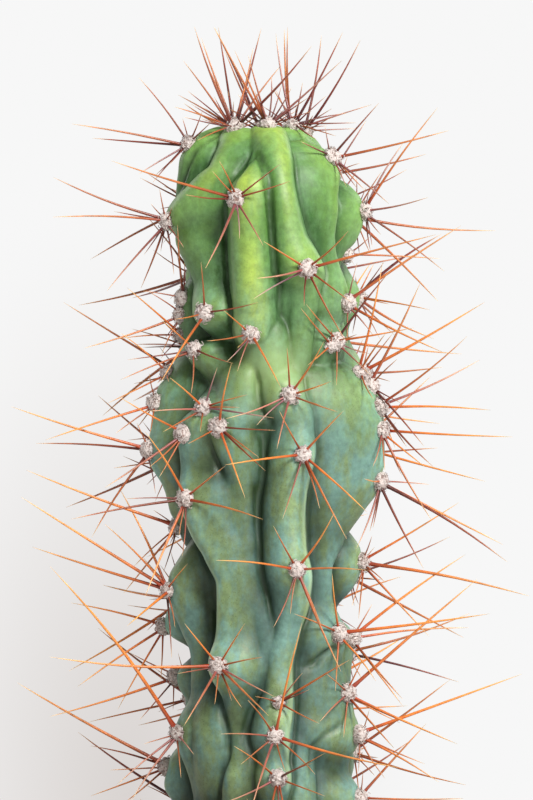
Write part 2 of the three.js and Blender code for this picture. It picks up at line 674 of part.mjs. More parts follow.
// The bare stem: a net of skin points in rings, from the neck's foot in the soil to the apex. At
// each areole the net's nearest point moves there and stands out as the wool's top.
function stemGeometry(areoles) {
  const footTaper = 4;
  const levels = [-NECK_DEPTH, -NECK_DEPTH + footTaper];
  for (let level = RIBS_FROM; level < DOME_HEIGHT - 2; level += LEVEL_STEP) levels.push(level);
  for (let i = 0; i <= DOME_ROWS; i += 1) {
    levels.push(DOME_HEIGHT + (DOME_RADIUS * radians(LAST_TILT) * i) / DOME_ROWS);
  }

  const net = levels.flatMap((level, row) =>
    Array.from({ length: AROUND }, (_, i) => {
      const angle = (360 * i) / AROUND;
      const reach = row === 0 ? NECK_RADIUS - footTaper : reachAt(angle, level);
      return { angle, level, point: pointAt(angle, level, reach) };
    })
  );
  for (const { angle, level, normal } of areoles) {
    const aside = (knot) => radians(wrapped(angle - knot.angle)) * DOME_RADIUS;
    const distance = (knot) => (knot.taken ? Infinity : Math.hypot(aside(knot), level - knot.level));
    const knot = net.reduce((best, other) => (distance(other) < distance(best) ? other : best));
    const turn = wrapped(angle - knot.angle);
    const place = skinAt(knot.angle + turn * AREOLE_PULL, mix(knot.level, level, AREOLE_PULL));
    knot.point = place.addScaledVector(normal, AREOLE_RISE);
    knot.taken = true;
  }

  const positions = net.flatMap((knot) => knot.point.toArray());
  const faces = [];
  const foot = net.length;
  positions.push(0, 0, SOIL_LEVEL - NECK_DEPTH);
  const apex = foot + 1;
  positions.push(0, 0, SOIL_LEVEL + DOME_HEIGHT + APEX_REACH);

  for (let i = 0; i < AROUND; i += 1) {
    const next = (i + 1) % AROUND;
    faces.push(foot, next, i);
    for (let row = 0; row < levels.length - 1; row += 1) {
      const low = row * AROUND;
      const high = low + AROUND;
      faces.push(low + i, low + next, high + next, low + i, high + next, high + i);
    }
    const last = (levels.length - 1) * AROUND;
    faces.push(last + i, last + next, apex);
  }
  const geometry = new THREE.BufferGeometry();
  geometry.setAttribute("position", new THREE.Float32BufferAttribute(positions, 3));
  geometry.setIndex(faces);
  return geometry;
}

// A three-sided spine whose foot point lies on the skin, under the wool.
function spineGeometry(foot, spine) {
  const length = spine.length() + SPINE_ROOT;
  const geometry = new THREE.ConeGeometry(SPINE_RADIUS, length, 3);
  geometry.translate(0, length / 2 - SPINE_ROOT, 0);
  const turn = new THREE.Quaternion();
  turn.setFromUnitVectors(new THREE.Vector3(0, 1, 0), spine.clone().normalize());
  return geometry.applyQuaternion(turn).translate(foot.x, foot.y, foot.z);
}

function cactusGeometry() {
  const onCrests = allRibs.flatMap(({ crest }) => crest.filter((point) => point[4]));
  const places = [
    ...onCrests.map(([angle, out, up, , listed]) => [angle, out, up, listed]),
    ...SIDE_AREOLES
  ];
  const areoles = places.map(([angle, out, up, listed]) => {
    const { level } = fromCore(out, up);
    return { angle, level, listed, foot: skinAt(angle, level), normal: skinNormal(angle, level) };
  });
  const solids = [toSolid(stemGeometry(areoles))];
  areoles.forEach(({ listed, foot, normal }, index) => {
    const measured = listed.map(([right, rise, forward]) => new THREE.Vector3(right, -forward, rise));
    const spines = listed.length > 0 ? measured : seededSpines(normal, 10 * (index + 1));
    for (const spine of spines.slice(0, SPINES_EACH)) {
      solids.push(toSolid(spineGeometry(foot, settleSpine(foot, spine, normal))));
    }
  });
  return toGeometry(wasm.Manifold.union(solids));
}

function potGeometry() {
  return turned([
    [DRAIN_RADIUS, 0],
    [FOOT_RADIUS - CHAMFER, 0],
    [FOOT_RADIUS, CHAMFER],
    [WALL_TOP, BAND_FOOT],
    [BAND_RADIUS - CHAMFER, BAND_FOOT],
    [BAND_RADIUS, BAND_FOOT + CHAMFER],
    [RIM_RADIUS, POT_HEIGHT - 2 * CHAMFER],
    [RIM_RADIUS - CHAMFER, POT_HEIGHT],
    [RIM_RADIUS - WALL, POT_HEIGHT],
    ...POT_INSIDE.toReversed(),
    [DRAIN_RADIUS, FLOOR],
    [DRAIN_RADIUS, 0]
  ]);
}

// The soil follows the pot's inside at a small distance and has a plain hole for the stem.
function soilGeometry() {
  const beside = 0.5;
  const hole = NECK_RADIUS + GAP;
  const bottom = SOIL_LEVEL - NECK_DEPTH - GAP;
  const side = POT_INSIDE.slice(0, -1).map(([radius, height]) => [radius - beside, height + GAP]);
  const [[lowRadius, low], [highRadius, high]] = POT_INSIDE.slice(-2);
  const edge = mix(lowRadius, highRadius, (SOIL_LEVEL - low) / (high - low)) - beside;
  const rings = [edge, mix(edge, hole, 0.15), mix(edge, hole, 0.4), mix(edge, hole, 0.65), hole];
  const geometry = turned([
    [0, FLOOR + GAP],
    ...side,
    ...rings.map((radius) => [radius, SOIL_LEVEL]),
    [hole, bottom],
    [0, bottom]
  ]);
  // The surface lies gently uneven between the pot's wall and the stem.
  const position = geometry.attributes.position;
  for (let i = 0; i < position.count; i += 1) {
    const x = position.getX(i);
    const y = position.getY(i);
    if (position.getZ(i) < SOIL_LEVEL || Math.hypot(x, y) > edge - 1) continue;
    position.setZ(i, SOIL_LEVEL - SOIL_WAVE / 2 + SOIL_WAVE * Math.sin(x / 11) * Math.cos(y / 9));
  }
  return geometry;
}

const pottedCactus = new THREE.Group();

function addPiece(name, geometry, material) {
  const piece = new THREE.Mesh(geometry, material);
  piece.name = name;
  pottedCactus.add(piece);
}

addPiece("pot", potGeometry(), CLAY);
addPiece("soil", soilGeometry(), SOIL);
addPiece("cactus_stem", cactusGeometry(), SKIN);

export default pottedCactus;
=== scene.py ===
"""A potted monstrose Peruvian apple cactus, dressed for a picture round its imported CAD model."""
import math

import bpy
import numpy as np
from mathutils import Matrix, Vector, noise


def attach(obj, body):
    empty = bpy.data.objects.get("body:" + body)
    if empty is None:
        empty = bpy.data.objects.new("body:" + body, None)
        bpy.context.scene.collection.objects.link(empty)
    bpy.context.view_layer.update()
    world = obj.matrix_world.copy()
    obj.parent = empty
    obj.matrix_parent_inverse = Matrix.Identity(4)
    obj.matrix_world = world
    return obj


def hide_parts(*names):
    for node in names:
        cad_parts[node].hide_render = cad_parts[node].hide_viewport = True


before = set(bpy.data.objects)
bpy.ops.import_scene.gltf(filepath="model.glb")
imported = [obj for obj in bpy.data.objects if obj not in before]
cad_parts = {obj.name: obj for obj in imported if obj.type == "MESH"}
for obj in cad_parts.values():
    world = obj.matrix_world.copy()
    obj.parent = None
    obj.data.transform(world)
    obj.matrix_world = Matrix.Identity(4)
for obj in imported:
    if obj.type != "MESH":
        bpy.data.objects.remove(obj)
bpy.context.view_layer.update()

# The pot. Pressed red clay, fired without a glaze: a tapered wall with a thick band under the
# rim and one drain hole in its foot. It is turned from one outline, with its edges rounded.
MM = 0.001
POT_HEIGHT = 140
RIM_RADIUS = 82.5
MOUTH_RADIUS = 76
BAND_RADIUS = 77.5  # at the band's foot
BAND_FOOT = 104
WALL_RADIUS = 70  # just under the band
FOOT_RADIUS = 54
POT_FLOOR = 8
DRAIN_RADIUS = 7
POT_AROUND = 160  # points round the pot
POT_STEP = 4  # between points along the outline
RING_DEPTH = 0.12  # of the marks that the turning press leaves on the wall
RING_SPACING = 5.7
RINGS_FROM = 4
# (radius, height, how far the corner's rounding reaches), the outside on the right of the way
POT_CORNERS = [
    (DRAIN_RADIUS, 0, 1), (FOOT_RADIUS, 0, 2.5), (WALL_RADIUS, BAND_FOOT, 1.5),
    (BAND_RADIUS, BAND_FOOT, 2.5), (RIM_RADIUS, POT_HEIGHT, 3), (MOUTH_RADIUS, POT_HEIGHT, 3),
    (72, 106, 3), (63.5, 100, 3), (50.5, 14, 3), (45.5, POT_FLOOR, 2.5), (DRAIN_RADIUS, POT_FLOOR, 1)]


def outline(corners, step):
    """Points along a closed outline: an arc at each corner and even steps between them."""
    points = []
    for i, (radius, height, bend) in enumerate(corners):
        here = Vector((radius, height))
        start = here + (Vector(corners[i - 1][:2]) - here).normalized() * bend
        end = here + (Vector(corners[(i + 1) % len(corners)][:2]) - here).normalized() * bend
        if points:
            last = points[-1]
            count = int((start - last).length / step)
            points += [last.lerp(start, (k + 1) / (count + 1)) for k in range(count)]
        for t in (0, 0.25, 0.5, 0.75, 1):
            points.append(start.lerp(here, t).lerp(here.lerp(end, t), t))
    return np.array(points)


def mesh_piece(name, points, faces):
    """A smooth-shaded mesh object from points in millimetres."""
    mesh = bpy.data.meshes.new(name)
    mesh.from_pydata((np.asarray(points) * MM).tolist(), [], [tuple(face) for face in faces])
    mesh.polygons.foreach_set("use_smooth", [True] * len(mesh.polygons))
    piece = bpy.data.objects.new(name, mesh)
    bpy.context.scene.collection.objects.link(piece)
    return piece


def turned(profile, around, poles=()):
    """A profile turned once round the Z axis, closed on itself or onto two poles at given heights."""
    angles = np.radians(np.arange(around) * 360 / around)
    rings = [np.stack([r * np.cos(angles), r * np.sin(angles), np.full(around, h)], 1) for r, h in profile]
    faces = []
    for row in range(len(profile) - (1 if poles else 0)):
        low, high = row * around, (row + 1) % len(profile) * around
        for i in range(around):
            j = (i + 1) % around
            faces.append((low + i, low + j, high + j, high + i))
    if poles:
        first, top_row = len(profile) * around, (len(profile) - 1) * around
        rings.append([(0, 0, height) for height in poles])
        for i in range(around):
            j = (i + 1) % around
            faces += [(first, j, i), (top_row + i, top_row + j, first + 1)]
    return np.concatenate(rings), faces


def linear(code):
    """A colour from its sRGB hex code."""
    parts = [int(code[i:i + 2], 16) / 255 for i in (0, 2, 4)]
    return [c / 12.92 if c <= 0.04045 else ((c + 0.055) / 1.055) ** 2.4 for c in parts] + [1.0]


def every(size):
    """The scale of a pattern whose marks come every so many millimetres."""
    return 1 / (size * MM)


def node(tree, kind, inputs=None, **settings):
    """Adds a node, sets it, and sets or links its inputs.

    Where inputs have numbers: a Map Range takes 0 value, 1 and 2 from, 3 and 4 to. A colour Mix
    takes 0 share, 6 and 7 the colours, and gives its colour on output 2.
    """
    made = tree.nodes.new(kind)
    for name, value in settings.items():
        setattr(made, name, value)
    for key, value in (inputs or {}).items():
        if isinstance(value, bpy.types.NodeSocket):
            tree.links.new(value, made.inputs[key])
        else:
            made.inputs[key].default_value = value
    return made


def new_material(name):
    """An empty material, its tree and its Principled shader, which is already on the output."""
    made = bpy.data.materials.new(name)
    made.use_nodes = True
    tree = made.node_tree
    tree.nodes.clear()
    shader = node(tree, "ShaderNodeBsdfPrincipled")
    node(tree, "ShaderNodeOutputMaterial", {"Surface": shader.outputs[0]})
    return made, tree, shader


points, faces = turned(outline(POT_CORNERS, POT_STEP), POT_AROUND)
out = np.hypot(points[:, 0], points[:, 1])
on_wall = (out > FOOT_RADIUS + 1) & (points[:, 2] > RINGS_FROM)
marks = RING_DEPTH * np.sin(points[:, 2] * 2 * math.pi / RING_SPACING) * on_wall
points[:, :2] *= (1 + marks / out)[:, None]
pot = mesh_piece("clay_pot", points, faces)

# Fired clay without a glaze: matt and a little chalky, clouded from the kiln, with grit, small
# pits, and pale lime that the water leaves low on the wall.
terracotta, tree, shader = new_material("unglazed_terracotta")
place = node(tree, "ShaderNodeTexCoord").outputs["Object"]
height = node(tree, "ShaderNodeSeparateXYZ", {0: place}).outputs["Z"]
clouds = node(tree, "ShaderNodeTexNoise", {"Vector": place, "Scale": every(45.5), "Detail": 5}).outputs[0]
grit = node(tree, "ShaderNodeTexNoise", {"Vector": place, "Scale": every(1.11), "Detail": 3}).outputs[0]
pits = node(tree, "ShaderNodeTexVoronoi", {"Vector": place, "Scale": every(2.38)}).outputs["Distance"]
cloudy = node(tree, "ShaderNodeMapRange", {0: clouds, 1: 0.35, 2: 0.65}).outputs[0]
clay = node(tree, "ShaderNodeMix", {0: cloudy, 6: linear("A04F33"), 7: linear("BF7250")},
            data_type="RGBA").outputs[2]
speckled = node(tree, "ShaderNodeMapRange", {0: grit, 1: 0.62, 2: 0.72, 4: 0.55}).outputs[0]
gritty = node(tree, "ShaderNodeMix", {0: speckled, 6: clay, 7: linear("7C3B27")},
              data_type="RGBA").outputs[2]
low_down = node(tree, "ShaderNodeMapRange", {0: height, 1: 0.04, 2: 0.004, 4: 0.38}).outputs[0]
lime = node(tree, "ShaderNodeMath", {0: low_down, 1: cloudy}, operation="MULTIPLY").outputs[0]
limed = node(tree, "ShaderNodeMix", {0: lime, 6: gritty, 7: linear("D8C3AE")}, data_type="RGBA").outputs[2]
pitted = node(tree, "ShaderNodeMapRange", {0: pits, 1: 0.0, 2: 0.25}).outputs[0]
rough = node(tree, "ShaderNodeBump", {"Height": grit, "Strength": 0.5, "Distance": 0.0003})
surface = node(tree, "ShaderNodeBump", {"Height": pitted, "Strength": 0.35, "Distance": 0.0003,
                                        "Normal": rough.outputs[0]})
tree.links.new(limed, shader.inputs["Base Color"])
tree.links.new(surface.outputs[0], shader.inputs["Normal"])
shader.inputs["Roughness"].default_value = 0.88
shader.inputs["IOR"].default_value = 1.5
pot.data.materials.append(terracotta)
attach(pot, "root")
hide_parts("pot")

# The soil. A dark, gritty potting mix for succulents that fills the pot to just under its rim:
# peat with pale pumice and bits of bark. The bed is turned, and its surface is lumpy.
SOIL_LEVEL = 128
SOIL_AROUND = 160  # points round the bed
SOIL_EDGE = 73.1
NECK_RADIUS = 23  # of the stem's foot, which stands in a plain hole
NECK_DEPTH = 45
NECK_GAP = 0.3
# (radius, height) up the bed's side, just clear of the pot's wall
BED_SIDE = [(44.8, 8.5), (50, 14.3), (63, 100.3), (71.5, 106.3)]
BED_RINGS = 40  # across the bed's top
CLEAR_RINGS = 2  # kept free of grains at the wall and at the stem
GRAIN_SINK = 0.3
# (height, size, seed) of the lumps on the bed's top, which its grains follow too, and of the crumbs
BED_LUMPS = (1.2, 9, 3)
BED_CRUMBS = (0.5, 2.5, 8)


def lumps(points, height, size, seed):
    """Smooth lumps at points, up to a height, of about the given size."""
    shift = Vector((seed, 0, 0))
    return height * np.array([noise.noise(Vector(p) / size + shift) for p in points.tolist()])


def grow(piece, tree, values):
    """Runs a Geometry Nodes tree on a piece with its named inputs set, and keeps the plain mesh."""
    modifier = piece.modifiers.new(tree.name, "NODES")
    modifier.node_group = tree
    for socket in tree.interface.items_tree:
        if socket.in_out == "INPUT" and socket.name in values:
            modifier[socket.identifier] = values[socket.name]
    graph = bpy.context.evaluated_depsgraph_get()
    made = bpy.data.meshes.new_from_object(piece.evaluated_get(graph))
    piece.modifiers.remove(modifier)
    piece.data = made


def new_tree(name, inputs):
    """A Geometry Nodes tree with named inputs, its input node and its output node."""
    tree = bpy.data.node_groups.new(name, "GeometryNodeTree")
    tree.interface.new_socket("Geometry", in_out="INPUT", socket_type="NodeSocketGeometry")
    for label, kind in inputs.items():
        tree.interface.new_socket(label, in_out="INPUT", socket_type="NodeSocket" + kind)
    tree.interface.new_socket("Geometry", in_out="OUTPUT", socket_type="NodeSocketGeometry")
    return tree, tree.nodes.new("NodeGroupInput").outputs, tree.nodes.new("NodeGroupOutput")


hole = NECK_RADIUS + NECK_GAP
bottom = SOIL_LEVEL - NECK_DEPTH - NECK_GAP
top_rings = [(SOIL_EDGE + (hole - SOIL_EDGE) * i / BED_RINGS, SOIL_LEVEL) for i in range(BED_RINGS + 1)]
bed = [*BED_SIDE, *top_rings, (hole, bottom)]
points, faces = turned(bed, SOIL_AROUND, poles=(BED_SIDE[0][1], bottom))
on_top = points[:, 2] > SOIL_LEVEL - 1
points[on_top, 2] += lumps(points[on_top], *BED_LUMPS) + lumps(points[on_top], *BED_CRUMBS)
soil = mesh_piece("soil_bed", points, faces)

# Moist peat: near black brown, crumbly and matt, with paler dry crumbs.
peat, tree, shader = new_material("moist_peat")
place = node(tree, "ShaderNodeTexCoord").outputs["Object"]
crumbs = node(tree, "ShaderNodeTexNoise", {"Vector": place, "Scale": every(2.63), "Detail": 6}).outputs[0]
dry = node(tree, "ShaderNodeMapRange", {0: crumbs, 1: 0.45, 2: 0.7}).outputs[0]
earth = node(tree, "ShaderNodeMix", {0: dry, 6: linear("2E2219"), 7: linear("6B513C")},
             data_type="RGBA").outputs[2]
crumbly = node(tree, "ShaderNodeBump", {"Height": crumbs, "Strength": 1.0, "Distance": 0.0015})
tree.links.new(earth, shader.inputs["Base Color"])
tree.links.new(crumbly.outputs[0], shader.inputs["Normal"])
shader.inputs["Roughness"].default_value = 0.95
soil.data.materials.append(peat)

# Pumice and bark in the mix: pale, porous grains and brown chips, two materials in one.
grains, tree, shader = new_material("pumice_and_bark")
tint = node(tree, "ShaderNodeAttribute", attribute_name="tint").outputs["Fac"]
place = node(tree, "ShaderNodeTexCoord").outputs["Object"]
pores = node(tree, "ShaderNodeTexNoise", {"Vector": place, "Scale": every(0.714), "Detail": 4}).outputs[0]
pale = node(tree, "ShaderNodeMix", {0: pores, 6: linear("8F8272"), 7: linear("D6CBBB")}, data_type="RGBA")
bark = node(tree, "ShaderNodeMix", {0: pores, 6: linear("3A2417"), 7: linear("7D5434")}, data_type="RGBA")
is_pale = node(tree, "ShaderNodeMath", {0: tint, 1: 0.6}, operation="GREATER_THAN").outputs[0]
grain = node(tree, "ShaderNodeMix", {0: is_pale, 6: bark.outputs[2], 7: pale.outputs[2]}, data_type="RGBA")
porous = node(tree, "ShaderNodeBump", {"Height": pores, "Strength": 0.8, "Distance": 0.0004})
tree.links.new(grain.outputs[2], shader.inputs["Base Color"])
tree.links.new(porous.outputs[0], shader.inputs["Normal"])
shader.inputs["Roughness"].default_value = 0.9

# The grains lie strewn over the bed, half sunk in, each of its own size, lie and shape.
tree, given, result = new_tree("strewn_grains", {
    "Grains per square metre": "Float", "Smallest": "Float", "Largest": "Float",
    "Roughness of shape": "Float", "Seed": "Int"})
strewn = node(tree, "GeometryNodeDistributePointsOnFaces", {
    "Mesh": given["Geometry"], "Density": given["Grains per square metre"], "Seed": given["Seed"]})
stone = node(tree, "GeometryNodeMeshIcoSphere", {"Radius": 0.5, "Subdivisions": 2})
size = node(tree, "FunctionNodeRandomValue", {
    2: given["Smallest"], 3: given["Largest"], "Seed": given["Seed"]}, data_type="FLOAT")
slim = node(tree, "FunctionNodeRandomValue", {0: (1, 0.75, 0.5), 1: (1, 1, 0.9), "Seed": 5},
            data_type="FLOAT_VECTOR")
sized = node(tree, "ShaderNodeVectorMath", {0: slim.outputs[0], 3: size.outputs[1]}, operation="SCALE")
lie = node(tree, "FunctionNodeRandomValue", {0: (-0.4, -0.4, 0), 1: (0.4, 0.4, 2 * math.pi), "Seed": 6},
           data_type="FLOAT_VECTOR")
laid = node(tree, "GeometryNodeInstanceOnPoints", {
    "Points": strewn.outputs["Points"], "Instance": stone.outputs["Mesh"],
    "Rotation": lie.outputs[0], "Scale": sized.outputs[0]})
tinted = node(tree, "GeometryNodeStoreNamedAttribute", {
    "Geometry": laid.outputs[0], "Name": "tint",
    "Value": node(tree, "FunctionNodeRandomValue", {"Seed": 7}, data_type="FLOAT").outputs[1]},
    data_type="FLOAT", domain="INSTANCE")
real = node(tree, "GeometryNodeRealizeInstances", {0: tinted.outputs[0]})
rough = node(tree, "ShaderNodeTexNoise", {
    "Vector": node(tree, "GeometryNodeInputPosition").outputs[0], "Scale": every(2.38), "Detail": 1})
centred = node(tree, "ShaderNodeVectorMath", {0: rough.outputs["Color"], 1: (0.5, 0.5, 0.5)},
               operation="SUBTRACT")
moved = node(tree, "ShaderNodeVectorMath", {0: centred.outputs[0], 3: given["Roughness of shape"]},
             operation="SCALE")
shaped = node(tree, "GeometryNodeSetPosition", {"Geometry": real.outputs[0], "Offset": moved.outputs[0]})
finished = node(tree, "GeometryNodeSetMaterial", {"Geometry": shaped.outputs[0], "Material": grains})
tree.links.new(finished.outputs[0], result.inputs[0])

# They lie on an open sheet, so the faces that would close it are left out
sheet = [(radius, height - GRAIN_SINK) for radius, height in top_rings[CLEAR_RINGS:-CLEAR_RINGS]]
points, faces = turned(sheet, SOIL_AROUND)
points[:, 2] += lumps(points, *BED_LUMPS)
grit = mesh_piece("soil_grains", points, faces[:-SOIL_AROUND])
grow(grit, tree, {"Grains per square metre": 60000.0, "Smallest": 0.0012, "Largest": 0.0042,
                  "Roughness of shape": 0.0013, "Seed": 11})
for piece in (soil, grit):
    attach(piece, "root")
    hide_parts("soil")

# The stem. Watery flesh under a waxy skin, grown as one column whose ribs break off, start anew,
# swell into fingers and lean over each other. Its skin is a fine net of points round the stem's
# core: up to the dome's height each lies level with the core, and above it they fan out over the
# top. Where a rib's crest runs, the skin follows its rounded ridge and its flanks.
RIBS_FROM = 3  # above the soil, where ribs start on the round foot
RIBS_FULL = 16
CORE_RADIUS = 17  # of the round core that shows in the deepest grooves
DOME_HEIGHT = 225  # above the soil, where the top rounds over
DOME_RADIUS = 27.5
APEX_REACH = 21
BLEND = 0.5  # how softly ribs meet in a groove
CREST_RUN = 7  # over which a crest's ends go down to CREST_END, inside the core
CREST_END = 11
LEAST_ARM = 6  # the least radius on which distances round the stem are measured
PLUMPNESS = 0.9  # how far a flank bulges, for a fall of 1
FLANK_LENGTH = 8
